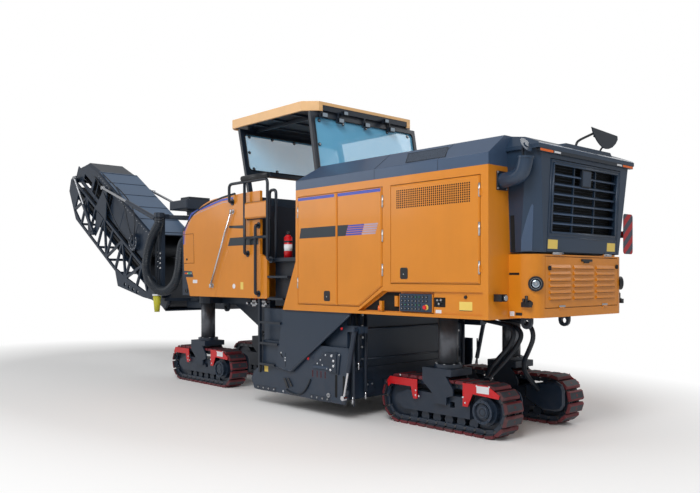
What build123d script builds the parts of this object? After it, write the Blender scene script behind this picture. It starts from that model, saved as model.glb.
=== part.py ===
from build123d import *
import os
from math import atan2, cos, degrees, hypot, pi, radians, sin

os.makedirs("parts", exist_ok=True)

# Sizes are in mm and angles in degrees. Stations run along X from the rear steering
# axis, +X towards the conveyor, +Y to the machine's left, +Z up from the ground.

# ---- clearances --------------------------------------------------------------
running_gap = 8          # between moving sheets and what they pass
seat = 0.3               # between a piece and the one that carries it
pin_fit = 0.3            # radial play of a pin in its bore

# ---- body ------------------------------------------------------------------
half_width = 1275        # outer face of the side sheets
side_wall = 70           # side wall with its door rebate
sheet = 40               # end walls and covers
body_low = 1340          # lower edge of the rear body
body_high = 2915         # upper edge of the yellow sheets
body_rear = -1070        # rear edge of the side sheets
body_front = 2050        # front wall of the engine bay
body_toe = 2330          # foot of the raked front edge
rake_start = 1975        # height at which the front edge starts to rake
front_low = 1480         # lower edge of the front body
front_nose = 5450        # front face of the nose
front_edge = 4950        # front edge of the yellow side sheets
cockpit_front = 3480     # console wall
platform_top = 2040
platform_sheet = 50
console_high = 2960

beam_side = 380          # frame beams from the centre plane
beam_half = 60
beam_high = 1480

# ---- tracks ----------------------------------------------------------------
axle_gap = 5250          # rear to front steering axis
track_side = 625         # steering axis from the centre plane
wheel_gap = 1290         # sprocket to idler
track_radius = 300       # out to the shoes' faces
shoe_height = 38
chain_thick = 30
shoe_count = 30
shoe_length = 112
track_width = 314
seat_gap = 0.4           # between the chain and what it runs on
hub_radius = 112
roller_radius = 62
roller_count = 6
roller_span = 900
cheek_inner = 165        # inner face of the yoke's cheeks from the steering axis
column_radius = 115
column_fit = 3           # radial play of the column in its sleeve
column_top = 1800
sleeve_wall = 32
yoke_top = 720

# ---- drum housing, from the side sheets inwards --------------------------------
plate_inset = 60         # sliding plates' outer face behind the side sheets
plate_thick = 24
runner_thick = 41        # rails that the plates slide on
cover_gap = 20           # between the sliding plates and their covers
cover_thick = 15
housing_wall = 50
drum_end_gap = 100
plate_face = half_width - plate_inset
housing_half = plate_face - plate_thick - runner_thick
drum_half = housing_half - housing_wall - drum_end_gap
cover_inner = plate_face + cover_gap
cover_outer = cover_inner + cover_thick
plate_low = 200
drum_x = 2120
drum_z = 745
drum_radius = 400
pick_reach = 490         # out to the picks' tips

# ---- loading conveyor, mid-line of its trough --------------------------------
loading_foot = (2940, 560)
loading_head = (6300, 2250)
loading_half = 300
loading_depth = 420

# ---- discharge conveyor ----------------------------------------------------
slew_x = 6600
lift_x = 6950
lift_z = 1450
boom_angle = 31
boom_half = 500          # outer face of the lower section's side frames
boom_wall = 40
fold_reach = 4950        # lift pivot to fold pivot
upper_half = 440         # outer face of the folded section's side plates
lift_eye = (3300, 600)   # along and across the boom from the lift pivot
fold_foot = (fold_reach - 1650, -480)
fold_eye = (fold_reach - 120, 110)
yoke_side = 620
slew_pin = 60
lift_pin = 45
fold_pin = 45


def block(x, y, z):
    """A box between (low, high) pairs."""
    size = [high - low for low, high in (x, y, z)]
    middle = [(high + low) / 2 for low, high in (x, y, z)]
    return Pos(*middle) * Box(*size)


def side_prism(outline, y_low, y_high):
    """An X-Z outline extruded between two Y planes."""
    face = make_face(Polyline(*outline, close=True))
    return Pos(0, y_high, 0) * extrude(Plane.XZ * face, amount=y_high - y_low)


def end_prism(outline, x_low, x_high):
    """A Y-Z outline extruded between two X planes."""
    face = make_face(Polyline(*outline, close=True))
    return Pos(x_low, 0, 0) * extrude(Plane.YZ * face, amount=x_high - x_low)


def plan_prism(outline, z_low, z_high):
    """An X-Y outline extruded between two Z planes."""
    face = make_face(Polyline(*outline, close=True))
    return Pos(0, 0, z_low) * extrude(face, amount=z_high - z_low)


def bar_y(x, z, radius, y_low, y_high):
    """A round bar along Y."""
    return Pos(x, (y_low + y_high) / 2, z) * Rot(90, 0, 0) * Cylinder(radius, y_high - y_low)


def bar_z(x, y, radius, z_low, z_high):
    """A round bar along Z."""
    return Pos(x, y, (z_low + z_high) / 2) * Cylinder(radius, z_high - z_low)


def bar_x(y, z, radius, x_low, x_high):
    """A round bar along X."""
    return Pos((x_low + x_high) / 2, y, z) * Rot(0, 90, 0) * Cylinder(radius, x_high - x_low)


def disc(x, z, radius, y_low, y_high, sides):
    """A many-sided bar along Y, whose corners lie on a radius."""
    face = Plane.XZ * RegularPolygon(radius, sides)
    return Pos(x, y_high, z) * extrude(face, amount=y_high - y_low)


def rail_path(points, easing):
    """Each corner of a route between its ends gives way to two gentler ones."""
    route = [Vector(*point) for point in points]
    eased = [route[0]]
    for before, corner, after in zip(route, route[1:], route[2:]):
        eased.append(corner + (before - corner).normalized() * easing)
        eased.append(corner + (after - corner).normalized() * easing)
    return eased + [route[-1]]


def tube(points, radius, sides=8, easing=0):
    """A many-sided bar along straight runs with mitred corners."""
    route = rail_path(points, easing) if easing else [Vector(*point) for point in points]
    section = Plane(origin=route[0], z_dir=route[1] - route[0]) * RegularPolygon(radius, sides)
    return sweep(section, path=Polyline(*route), transition=Transition.RIGHT)


def mirrored(shape):
    return mirror(shape, about=Plane.XZ)


def both_sides(shape):
    return shape + mirrored(shape)


nodes = {}


# ---- crawler unit, about its own steering axis on the ground ----------------
def track_loop():
    """One closed loop with its shoes standing out of the chain."""
    chain_radius = track_radius - shoe_height
    inner_radius = chain_radius - chain_thick
    ring = SlotCenterToCenter(wheel_gap, 2 * chain_radius) - SlotCenterToCenter(wheel_gap, 2 * inner_radius)
    bend = pi * chain_radius
    pitch = 2 * (wheel_gap + bend) / shoe_count
    shoe = Rectangle(shoe_length, shoe_height + 8)
    shoe_radius = track_radius - (shoe_height + 8) / 2
    for index in range(shoe_count):
        distance = index * pitch
        if distance < wheel_gap:
            ring += Pos(distance - wheel_gap / 2, shoe_radius) * shoe
        elif distance < wheel_gap + bend:
            turn = degrees((distance - wheel_gap) / chain_radius)
            ring += Pos(wheel_gap / 2, 0) * Rot(0, 0, -turn) * Pos(0, shoe_radius) * shoe
        elif distance < 2 * wheel_gap + bend:
            ring += Pos(wheel_gap * 1.5 + bend - distance, -shoe_radius) * shoe
        else:
            turn = degrees((distance - 2 * wheel_gap - bend) / chain_radius)
            ring += Pos(-wheel_gap / 2, 0) * Rot(0, 0, 180 - turn) * Pos(0, shoe_radius) * shoe
    return Pos(0, track_width / 2, track_radius) * extrude(Plane.XZ * ring, amount=track_width)


wheel_radius = track_radius - shoe_height - chain_thick - seat_gap
beam_inner, beam_outer = -130, 140
wheel_half = 70
hub_face = 190
cheek_thick = 25
wheel_sides, roller_sides = 20, 10


def crawler_frame():
    """Side beam, wheels, rollers, yoke and lifting column as one welded unit."""
    roller_z = track_radius - wheel_radius + roller_radius
    beam = side_prism([(-430, 185), (-430, 360), (-340, 420), (520, 420), (650, 370), (650, 230),
                       (590, 185)],
                      beam_inner, beam_outer)
    beam -= block((-215, -145), (60, beam_outer + 10), (285, 350))
    unit = beam + block((-700, -420), (beam_inner, beam_inner + 55), (220, 380))
    for wheel_x in (-wheel_gap / 2, wheel_gap / 2):
        unit += disc(wheel_x, track_radius, wheel_radius, -wheel_half, wheel_half, wheel_sides)
    unit += disc(-wheel_gap / 2, track_radius, hub_radius + 45, beam_inner, hub_face - 50, wheel_sides)
    unit += disc(-wheel_gap / 2, track_radius, hub_radius, hub_face - 60, hub_face - 15, wheel_sides)
    unit += disc(-wheel_gap / 2, track_radius, hub_radius - 30, hub_face - 20, hub_face, 12)
    unit += disc(wheel_gap / 2, track_radius, 70, beam_inner, beam_outer, 12)
    for step in range(roller_count):
        roller_x = -roller_span / 2 + step * roller_span / (roller_count - 1)
        unit += disc(roller_x, roller_z, roller_radius, -95, 95, roller_sides)
    cheek = side_prism([(235, yoke_top - 60), (-100, yoke_top - 60), (-225, 500), (-225, 430), (-130, 400),
                        (-130, 315), (70, 315), (70, 420), (235, 560)], cheek_inner,
                        cheek_inner + cheek_thick)
    unit += both_sides(cheek)
    unit += block((-200, 235), (-cheek_inner - cheek_thick, cheek_inner + cheek_thick),
                  (yoke_top - 80, yoke_top))
    unit += disc(-30, 370, 45, -cheek_inner, cheek_inner, 8)
    unit += bar_z(0, 0, column_radius, yoke_top, column_top)
    collar = extrude(RegularPolygon(column_radius + 40, 16), amount=25)
    return unit + Pos(0, 0, yoke_top) * collar


def crawler_guards():
    """Two plates on the outer face, over the idler and over the sprocket, on feet from the beam."""
    guard_y = track_width / 2 + 13
    front = side_prism([(810, 430), (820, 500), (780, 560), (330, 560), (330, 330), (390, 330), (430, 470),
                        (760, 470)], guard_y, guard_y + 10)
    rear = side_prism([(-360, 590), (-700, 590), (-860, 500), (-850, 460), (-500, 480), (-430, 330),
                       (-360, 330)], guard_y, guard_y + 10)
    front += block((340, 380), (140, guard_y), (345, 385))
    rear += block((-405, -370), (140, guard_y), (345, 380))
    return front, rear


crawler_places = {
    # name: station, side
    "rear_left": (0, 1),
    "rear_right": (0, -1),
    "front_left": (axle_gap, 1),
    "front_right": (axle_gap, -1),
}


def place_crawler(shape, station, side):
    shape = shape if side > 0 else mirrored(shape)
    return Pos(station, side * track_side, 0) * shape


loop = track_loop()
unit = crawler_frame()
guard_front, guard_rear = crawler_guards()
for name, (station, side) in crawler_places.items():
    nodes[f"track_{name}"] = place_crawler(loop, station, side)
    nodes[f"crawler_{name}"] = place_crawler(unit, station, side)
    nodes[f"guards_{name}"] = [place_crawler(guard_front, station, side),
                               place_crawler(guard_rear, station, side)]

# ---- rear body ---------------------------------------------------------------
rear_profile = [(body_rear, body_low), (body_toe, body_low), (body_front + 5, rake_start),
                (body_front, body_high), (body_rear, body_high)]
rear_body = side_prism(rear_profile, -half_width, half_width)
bay_outline = [(body_rear + sheet, body_low - 10), (body_toe - sheet, body_low - 10),
               (body_front + 5 - sheet, rake_start - 10), (body_front - sheet, body_high - sheet),
               (body_rear + sheet, body_high - sheet)]
rear_body -= side_prism(bay_outline, -half_width + side_wall, half_width - side_wall)
rear_body -= block((body_front - 100, body_toe + 10), (-beam_side - 65, beam_side + 65),
                   (body_low - 10, beam_high))
door_rebate = 46
door_thick = 38
door_top = 2815
door_foot = 1428
middle_hinge = 445
front_hinge = 1996
rear_hinge = -965
door_meet = 1222
rear_door_front = 300
rear_door_foot = 1705

knuckle_radius = 8
knuckle_length = 36
leaf_width = 30
leaf_thick = 4


def hinge_leaf(low, high, toward, knuckle):
    """Knuckle and leaf of a hinge along Z. Its pin is at X = 0, knuckle_radius off the face at Y = 0."""
    leaf = block(sorted((0, toward * leaf_width)), (0, leaf_thick), (low, high))
    return leaf + Pos(0, knuckle_radius, low) * extrude(knuckle, amount=high - low)


def lift_hinge(toward):
    """A lift-off hinge's moving upper half and fixed lower half. The moving half lies toward +X or -X."""
    foot = Pos(toward * knuckle_radius / 2, -knuckle_radius / 2) * Rectangle(knuckle_radius, knuckle_radius)
    moving = hinge_leaf(seat, knuckle_length, toward, Circle(knuckle_radius) + foot)
    fixed = hinge_leaf(-knuckle_length, 0, -toward, RegularPolygon(knuckle_radius, 6))
    return moving, fixed


# name: outline in X-Z
door_outlines = {
    "front": [(front_hinge, door_foot), (front_hinge, door_top), (door_meet + running_gap / 2, door_top),
              (door_meet + running_gap / 2, door_foot)],
    "middle": [(door_meet - running_gap / 2, door_foot), (door_meet - running_gap / 2, door_top),
               (middle_hinge, door_top), (middle_hinge, 1672), (834, door_foot)],
    "rear": [(rear_door_front, rear_door_foot), (rear_door_front, door_top), (rear_hinge, door_top),
             (rear_hinge, rear_door_foot)],
}
# name: hinge edge, side of the door from it, hinge heights
door_hinges = {
    "front": (front_hinge, -1, (1700, 2600)),
    "middle": (middle_hinge, 1, (1830, 2230, 2640)),
    "rear": (rear_hinge, 1, (1860, 2640)),
}


def grown(outline, margin):
    """An outline offset outwards."""
    return offset(make_face(Polyline(*outline, close=True)), margin, kind=Kind.INTERSECTION)


def face_prism(face, y_low, y_high):
    return Pos(0, y_high, 0) * extrude(Plane.XZ * face, amount=y_high - y_low)


for name, outline in door_outlines.items():
    rebate = face_prism(grown(outline, running_gap), half_width - door_rebate, half_width + 10)
    rear_body -= both_sides(rebate)
    door = side_prism(outline, half_width - door_thick, half_width)
    hinge_x, toward, hinge_heights = door_hinges[name]
    moving, fixed = lift_hinge(toward)
    for height in hinge_heights:
        place = Pos(hinge_x - toward * running_gap / 2, half_width, height)
        door += place * moving
        rear_body += both_sides(place * fixed)
    nodes[f"door_left_{name}"] = door
    nodes[f"door_right_{name}"] = mirrored(door)

# controls recess in each side: a pocket with its switch panel, and a shallow field behind it
recess_low, recess_high = 1375, 1617
recess_rear, recess_middle = -1000, -330
recess_toe, recess_head = 850, 440       # front end of its lower and of its upper edge
pocket_depth, field_depth = 60, 22
switch_panel = (-312, 189)
pocket = side_prism([(recess_middle, recess_low), (recess_toe, recess_low), (recess_head, recess_high),
                     (recess_middle, recess_high)], half_width - pocket_depth, half_width + 10)
field = block((recess_rear, recess_middle + 5), (half_width - field_depth, half_width + 10),
              (recess_low, recess_high))
rear_body -= both_sides(pocket + field)
rear_body += both_sides(block(switch_panel, (half_width - pocket_depth - 5, half_width - field_depth),
                              (recess_low + 12, recess_high - 32)))
nodes["rear_body"] = rear_body

# ---- rear box ------------------------------------------------------------------
rear_box_half = 930
rear_face = -1385
rear_box_low = body_low + 15
rear_box_high = 2010
rear_box_corner = 180
rear_box_plan = Pos((body_rear + rear_face) / 2, 0) * Rectangle(body_rear - rear_face, 2 * rear_box_half)
rear_box_plan = fillet(rear_box_plan.vertices().group_by(Axis.X)[0], rear_box_corner)
rear_box = Pos(0, 0, rear_box_low) * extrude(rear_box_plan, amount=rear_box_high - rear_box_low)
louvre_low, louvre_high, louvre_half = 1457, 1985, 740
rear_box -= block((rear_face - 10, rear_face + door_rebate),
                  (-louvre_half - running_gap, louvre_half + running_gap),
                  (louvre_low - running_gap, louvre_high + running_gap))
louvre_door = block((rear_face, rear_face + door_thick), (-louvre_half, louvre_half),
                    (louvre_low, louvre_high))

# pressed louvres, open at the bottom
louvre_rows = 6
louvre_pitch = 65
louvre_first = 1535
louvre_depth = 16
for y_low, y_high in ((-665, -265), (-200, 200), (265, 665)):
    for row in range(louvre_rows):
        low = louvre_first + row * louvre_pitch
        louvre_door += side_prism([(rear_face, low), (rear_face - louvre_depth, low + 4),
                                   (rear_face - louvre_depth, low + 14), (rear_face, low + 44)], y_low,
                                   y_high)
louvre_hinge_y = 445
panel_hinge_y = 450
moving, fixed = lift_hinge(1)
for y in (-louvre_hinge_y, louvre_hinge_y):
    place = Pos(rear_face, y, louvre_low - running_gap / 2) * Rot(90, 0, 90)
    louvre_door += place * moving
    rear_box += place * fixed
nodes["louvre_door"] = louvre_door

# ---- radiator housing and its rear panel --------------------------------------------
housing_low = 2032
housing_low_half, housing_high_half = 905, 960
face_low_half, face_high_half = 775, 900
corner_low_x, corner_high_x = -1200, -1300
face_high_x = -1440
lid_low, lid_high = 3070, 3240
lid_half, lid_x, lid_edge = 985, -1467, 3128
panel_half, panel_thick = 715, 38
panel_foot, panel_top = 6, 955           # up the leaning face from the housing's foot
window_half, window_low, window_high = 655, 205, 915
pocket_deep = 130
slat_rows, slat_columns = 7, 3
slat_thick, rib_half = 24, 7
slat_front, slat_back = 14, 52

low_plan = make_face(Polyline((body_rear, -housing_low_half), (corner_low_x, -housing_low_half),
                              (rear_face, -face_low_half), (rear_face, face_low_half),
                              (corner_low_x, housing_low_half), (body_rear, housing_low_half), close=True))
high_plan = make_face(Polyline((body_rear, -housing_high_half), (corner_high_x, -housing_high_half),
                               (face_high_x, -face_high_half), (face_high_x, face_high_half),
                               (corner_high_x, housing_high_half), (body_rear, housing_high_half),
                               close=True))
radiator_housing = loft([Pos(0, 0, housing_low) * low_plan, Pos(0, 0, lid_low + 20) * high_plan], ruled=True)
lid_profile = [(body_rear, lid_low), (body_rear, lid_high), (-1250, lid_high - 30), (lid_x + 12, lid_edge),
               (lid_x, lid_edge - 14), (lid_x, lid_low)]
lid_section = [(-lid_half, lid_low), (-lid_half, lid_low + 40), (-lid_half + 120, lid_high + 10),
               (lid_half - 120, lid_high + 10), (lid_half, lid_low + 40), (lid_half, lid_low)]
radiator_housing += side_prism(lid_profile, -lid_half, lid_half) & end_prism(lid_section, lid_x - 10,
                                                                             body_rear)

# the panel leans with the face: X into the housing, Z up the face
face_lean = degrees(atan2(rear_face - face_high_x, lid_low + 20 - housing_low))
on_face = Pos(rear_face, 0, housing_low) * Rot(0, -face_lean, 0)
radiator_housing -= on_face * block((-100, pocket_deep),
                                    (-panel_half - running_gap, panel_half + running_gap),
                                    (panel_foot - 60, panel_top + running_gap))
panel = block((0, panel_thick), (-panel_half, panel_half), (panel_foot, panel_top))
panel -= block((-10, panel_thick + 10), (-window_half, window_half), (window_low, window_high))
row_pitch = (window_high - window_low) / slat_rows
for row in range(1, slat_rows):
    height = window_low + row * row_pitch
    panel += side_prism([(slat_front, height - slat_thick / 2), (slat_front, height + slat_thick / 2 - 8),
                         (slat_back, height + slat_thick / 2 + 8), (slat_back, height - slat_thick / 2 + 8)],
                        -window_half, window_half)
for column in range(1, slat_columns):
    y = -window_half + column * 2 * window_half / slat_columns
    panel += block((slat_front + 8, slat_back - 8), (y - rib_half, y + rib_half), (window_low, window_high))
grille_door = on_face * panel
panel_hinge_z = (rear_box_high + housing_low) / 2
for y in (-panel_hinge_y, panel_hinge_y):
    place = Pos(rear_face, y, panel_hinge_z) * Rot(90, 0, 90)
    grille_door += place * moving
    rear_box += place * fixed
nodes["rear_box"] = rear_box
nodes["radiator_housing"] = radiator_housing
nodes["grille_door"] = grille_door

# ---- air intake, mirror, hazard board and lamp on the rear ------------------------------
intake_radius, intake_y = 80, 1060
intake_plate = block((body_rear - 20, body_rear - seat), (housing_high_half + 10, 1150), (2660, 2862))
intake_pipe = tube([(body_rear - 15, intake_y, 2762), (-1215, intake_y, 2768), (-1320, intake_y + 8, 2838),
                    (-1375, intake_y + 12, 2985)], intake_radius, sides=14)
flap = Pos(-1372, intake_y + 12, 3085) * Rot(0, -62, 0) * extrude(RegularPolygon(intake_radius + 5, 14),
                                                                  amount=10)
flap_stem = block((-1352, -1330), (intake_y - 8, intake_y + 32), (2900, 3130))
nodes["air_intake"] = intake_plate + intake_pipe + flap + flap_stem

mirror_x = -1500
mirror_back = 14
mirror_outline = make_face(Polyline((20, 3400), (-540, 3372), (-548, 3325), (-470, 3245), (-360, 3196),
                                    (-230, 3190),
                                    (-110, 3240), (-20, 3320), close=True))
mirror_head = Pos(mirror_x, 0, 0) * extrude(Plane.YZ * mirror_outline, amount=mirror_back)
mirror_arm = tube([(-1400, 187, 3145), (-1400, 165, 3240), (mirror_x + mirror_back, -60, 3345)], 14, sides=8)
mirror_stay = tube([(-1400, -313, 3145), (-1400, -313, 3190), (mirror_x + mirror_back, -313, 3260)], 10,
                   sides=6)
clearing = Pos(0, 0, seat) * radiator_housing
nodes["rear_mirror"] = (mirror_head + mirror_arm + mirror_stay) - clearing

board_x, board_inner = -1303, 1040
board = block((board_x - 4, board_x), (-half_width + 5, -board_inner), (2052, 2532))
board = fillet(board.edges().filter_by(Axis.X), 40)
board += block((board_x, body_rear - seat), (-1180, -1150), (2250, 2330))
board += block((board_x - 2, board_x + 40), (-1200, -1130), (2200, 2380))
nodes["hazard_board"] = board

# ---- hood ----------------------------------------------------------------------
hood_edge = 3035
hood_top = 3240
hood_inset = 275
hood_front_rake = 200
hood = block((body_rear, body_front), (-half_width, half_width), (body_high, hood_edge))
hood_length = body_front - body_rear
hood_base = Pos(body_rear + hood_length / 2, 0, hood_edge) * Rectangle(hood_length, 2 * half_width)
hood_crown = Pos(body_rear + (hood_length - hood_front_rake) / 2, 0, hood_top) * Rectangle(
    hood_length - hood_front_rake, 2 * (half_width - hood_inset))
hood += loft([hood_base, hood_crown])
nodes["hood"] = hood

# ---- engine and frame ------------------------------------------------------------
beam_low = body_low
sleeve_radius = column_radius + column_fit + sleeve_wall
beam_rear, beam_front = body_rear + 70, front_nose - sheet
main_frame = both_sides(block((beam_rear, beam_front), (beam_side - beam_half, beam_side + beam_half),
                              (beam_low, beam_high)))
for station in (0, axle_gap):
    web = block((station - sleeve_radius, station + sleeve_radius), (beam_side, track_side),
                (beam_low, beam_high))
    sleeve = extrude(RegularPolygon(sleeve_radius, 16), amount=column_top + 60 - beam_low)
    sleeve = Pos(station, track_side, beam_low) * sleeve
    bore = bar_z(station, track_side, column_radius + column_fit, beam_low - 10, column_top + seat)
    main_frame += both_sides(web + sleeve - bore)
    main_frame -= both_sides(bore)
# cross members: station low, station high
for x_low, x_high in ((-900, -780), (body_front - 60, body_front + 60), (beam_front - 120, beam_front)):
    main_frame += block((x_low, x_high), (-beam_side, beam_side), (beam_low, beam_high))

# lashing eyes under the beams, each with a clear way in past the columns
eye_radius, eye_plate, eye_wall, eye_drop = 32, 40, 38, 70
eye_stations = (beam_rear + 80, axle_gap - 200)
for station in eye_stations:
    lug = block((station - eye_radius - eye_wall, station + eye_radius + eye_wall),
                (beam_side - eye_plate / 2, beam_side + eye_plate / 2), (beam_low - eye_drop, beam_low))
    lug += disc(station, beam_low - eye_drop, eye_radius + eye_wall, beam_side - eye_plate / 2,
                beam_side + eye_plate / 2, 12)
    lug -= bar_y(station, beam_low - eye_drop, eye_radius, beam_side - eye_plate, beam_side + eye_plate)
    main_frame += both_sides(lug)
nodes["main_frame"] = main_frame
nodes["engine_block"] = block((300, 1700), (-beam_side - beam_half, beam_side + beam_half),
                              (beam_high, 2700))

# ---- drum housing, scraper, side plates and drum ------------------------------------
housing_front, housing_rear = 2920, 1180
housing_top = body_low
housing_low_edge = 250
shaft_radius = 90
drum_housing = block((housing_rear, housing_front), (-housing_half, housing_half),
                     (housing_low_edge, housing_top))
drum_housing -= block((housing_rear + 40, housing_front - 40),
                      (-housing_half + housing_wall, housing_half - housing_wall),
                      (housing_low_edge - 50, housing_top - 60))
drum_housing -= bar_y(drum_x, drum_z, shaft_radius + pin_fit, -housing_half - 10, housing_half + 10)

# outer covers over the plates' upper part, on a spacer from the housing
cover_foot = (2526, 562)
cover_head = (2347, housing_top)
cover_outline = [cover_head, cover_foot, (2173, 513), (1013, 1327), (1013, housing_top)]
cover = side_prism(cover_outline, cover_inner, cover_outer)
cover += block((1500, 2300), (housing_half, cover_inner), (1200, housing_top))
# runners that the sliding plates ride on
runner_heights = (420, 900)
for x in (housing_rear + 40, housing_front - 100):
    cover += block((x, x + 60), (housing_half, plate_face - plate_thick - seat), runner_heights)
drum_housing += both_sides(cover)

# cylinders that lift the side plates: foot on the housing, eye on the plate
plate_foot = (924, 1136)
plate_eye = (1122, 291)
plate_cylinder_y = 1260
foot_arm = block((860, housing_rear), (1100, housing_half), (plate_foot[1] - 40, plate_foot[1] + 40))
foot_arm += block((870, 980), (housing_half, plate_cylinder_y - 36),
                  (plate_foot[1] - 40, plate_foot[1] + 40))
foot_arm += bar_y(*plate_foot, 20, plate_cylinder_y - 36, plate_cylinder_y + 34)
drum_housing += both_sides(foot_arm)
nodes["drum_housing"] = drum_housing

plate_rear = 1085
side_outline = [(1158, plate_low), (3068, plate_low), (3142, 337), (3080, 440), (2875, 574), (2875, 900),
                (plate_rear, 900), (plate_rear, 620)]
side_plate = side_prism(side_outline, plate_face - plate_thick, plate_face)
side_plate += side_prism([(1158, plate_low), (1185, plate_low), (1165, 380), (1095, 380)],
                         plate_face - plate_thick, plate_face)
side_plate += bar_y(*plate_eye, 16, plate_face - plate_thick, plate_cylinder_y - 28 - seat)
nodes["side_plate_left"] = side_plate
nodes["side_plate_right"] = mirrored(side_plate)

drum_sides = 24
pick_rows, picks_per_turn = 16, 3
pick_step = 34                           # degrees that each row is turned on from the last
pick_margin = 70
drum = disc(drum_x, drum_z, drum_radius, -drum_half, drum_half, drum_sides)
drum += disc(drum_x, drum_z, 180, -housing_half + housing_wall + running_gap,
             housing_half - housing_wall - running_gap, drum_sides)
drum += bar_y(drum_x, drum_z, shaft_radius, -housing_half + 10, housing_half - 10)
flat_reach = drum_radius * cos(pi / drum_sides)
pick_foot = flat_reach - 20
pick = Pos(0, 0, pick_foot) * extrude(RegularPolygon(38, 6), amount=pick_reach - pick_foot, taper=10.8)
for row in range(pick_rows):
    y = -drum_half + pick_margin + row * (2 * drum_half - 2 * pick_margin) / (pick_rows - 1)
    for turn in range(picks_per_turn):
        drum += Pos(drum_x, y, drum_z) * Rot(0, turn * 360 / picks_per_turn + row * pick_step, 0) * pick
nodes["milling_drum"] = drum

# ---- front body --------------------------------------------------------------------
front_rear_low = 2690
entry_front = 2850
conveyor_gap = 20
# three points of the rounded upper edge
crown = ((3820, 2960), (4560, 2800), (front_edge, 2500))
cover_crown = ((3815, 2925), (4530, 2762), (4910, 2475))
hollow_crown = ((3810, 2885), (4505, 2722), (4870, 2455))


def crowned_prism(foot, arc, y_low, y_high):
    """An X-Z outline closed by an arc from the foot's last point to its first, extruded along Y."""
    return face_prism(make_face(Polyline(arc[2], *foot, arc[0]) + ThreePointArc(*arc)), y_low, y_high)


front_foot = [(4920, 1890), (4800, 1650), (4740, front_low), (front_rear_low, front_low),
              (front_rear_low, 2040), (entry_front, 2100), (entry_front, 2985), (3270, 2985)]
front_body = both_sides(crowned_prism(front_foot, crown, half_width - sheet, half_width))
front_cover = crowned_prism([(4900, 1890), (4700, front_low), (cockpit_front, front_low),
                             (cockpit_front, console_high)],
                            cover_crown, -half_width + sheet, half_width - sheet)
front_cover -= crowned_prism([(4860, 1890), (4680, front_low - 80), (cockpit_front + sheet, front_low - 80),
                              (cockpit_front + sheet, console_high - 45)],
                             hollow_crown, -half_width + 2 * sheet, half_width - 2 * sheet)
conveyor_way = block((4300, front_nose + 10), (-loading_half - conveyor_gap, loading_half + conveyor_gap),
                     (front_low - conveyor_gap, 2280))
front_body += front_cover - conveyor_way
nose = block((4912, front_nose), (-1000, 1000), (front_low, 2600))
nose -= block((4900, front_nose - sheet), (-1000 + sheet, 1000 - sheet), (front_low - 20, 2600 - sheet))
nose -= conveyor_way
nodes["front_body"] = front_body
nodes["nose"] = nose

# step well between the rear and the front body
skirt_inner, skirt_outer = 1090, 1130
skirt = side_prism([(2290, front_low), (2685, front_low), (2685, platform_top - platform_sheet),
                    (2075, platform_top - platform_sheet)], skirt_inner, skirt_outer)
for step_x, height in ((2340, 1465), (2240, 1765)):
    skirt += block((step_x, front_rear_low - 5), (skirt_outer, half_width - 5), (height, height + 30))

# ---- platform, console ---------------------------------------------------------------
platform = block((body_front + 12, cockpit_front), (-half_width + sheet, half_width - sheet),
                 (platform_top - platform_sheet, platform_top))
platform += both_sides(skirt)
console = side_prism([(cockpit_front - 260, platform_top), (cockpit_front, platform_top),
                      (cockpit_front, console_high),
                      (cockpit_front - 120, console_high), (cockpit_front - 300, 2820)], -1100, 1100)
platform += console
nodes["platform"] = platform

# ---- ladder and handrails ---------------------------------------------------------------
rail_radius = 21
rail_sides = 8
rail_easing = 70
rail_y = half_width + 60
face_seat = half_width + seat
rear_post, middle_post, front_post_x = 2595, 3143, 3533
rail_high, loop_low = 3125, 3000
rail_foot = 2110
platform_edge = half_width - sheet + seat
inner_y = 1200
ladder_inner, ladder_outer = cover_inner + seat, half_width
stile_x = 2880
rung_heights = (570, 860, 1150)
rail_box = block((2600, 3130), (face_seat, rail_y + rail_radius - 4), (2596, 2824))
rail_box = chamfer(rail_box.edges().group_by(Axis.Y)[-1], 18)

# route: centre line
rail_routes = {
    "hoop": [(rear_post, platform_edge, platform_top - 25), (rear_post, rail_y, platform_top - 25),
             (rear_post, rail_y, rail_high), (front_post_x, rail_y, rail_high),
             (front_post_x, rail_y, loop_low - 130),
             (front_post_x, face_seat, loop_low - 130)],
    "post": [(middle_post, rail_y, rail_high), (middle_post, rail_y, rail_foot),
             (middle_post, face_seat, rail_foot)],
    "bar": [(rear_post, rail_y, 2330), (middle_post, rail_y, 2330)],
    "stile": [(stile_x, face_seat, 1545), (stile_x, rail_y, 1545), (stile_x, rail_y, 2500),
              (stile_x, face_seat, 2500)],
    "entry": [(2581, inner_y, platform_top + seat), (2581, inner_y, 2980), (2728, inner_y, 2980),
              (2728, inner_y, platform_top + seat)],
}
rails = []
for name, route in rail_routes.items():
    easing = 0 if name == "bar" else min(rail_easing, (rail_y - half_width) * 0.7)
    rails.append(tube(route, rail_radius, rail_sides, easing))
outer_rail = rails[0] + rails[1] + rails[2] + rails[3] + rail_box
rail_pad = disc(0, 0, 45, 0, 610, 12)
outer_rail += Pos(2580, rail_y, 3170) * Rot(0, 0, -90) * rail_pad
nodes["handrails"] = [outer_rail, rails[4], mirrored(outer_rail), mirrored(rails[4])]


def cover_edge(z):
    """Front edge of the plate cover at a height."""
    share = (z - cover_foot[1]) / (cover_head[1] - cover_foot[1])
    return cover_foot[0] + share * (cover_head[0] - cover_foot[0])


ladder = block((stile_x - 18, stile_x + 18), (ladder_inner, ladder_outer),
               (rung_heights[0] - 120, front_low - seat))
for height in rung_heights:
    ladder += block((cover_edge(height - 15) + seat, stile_x), (ladder_inner, ladder_outer),
                    (height - 15, height + 15))
nodes["ladders"] = [ladder, mirrored(ladder)]

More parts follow.
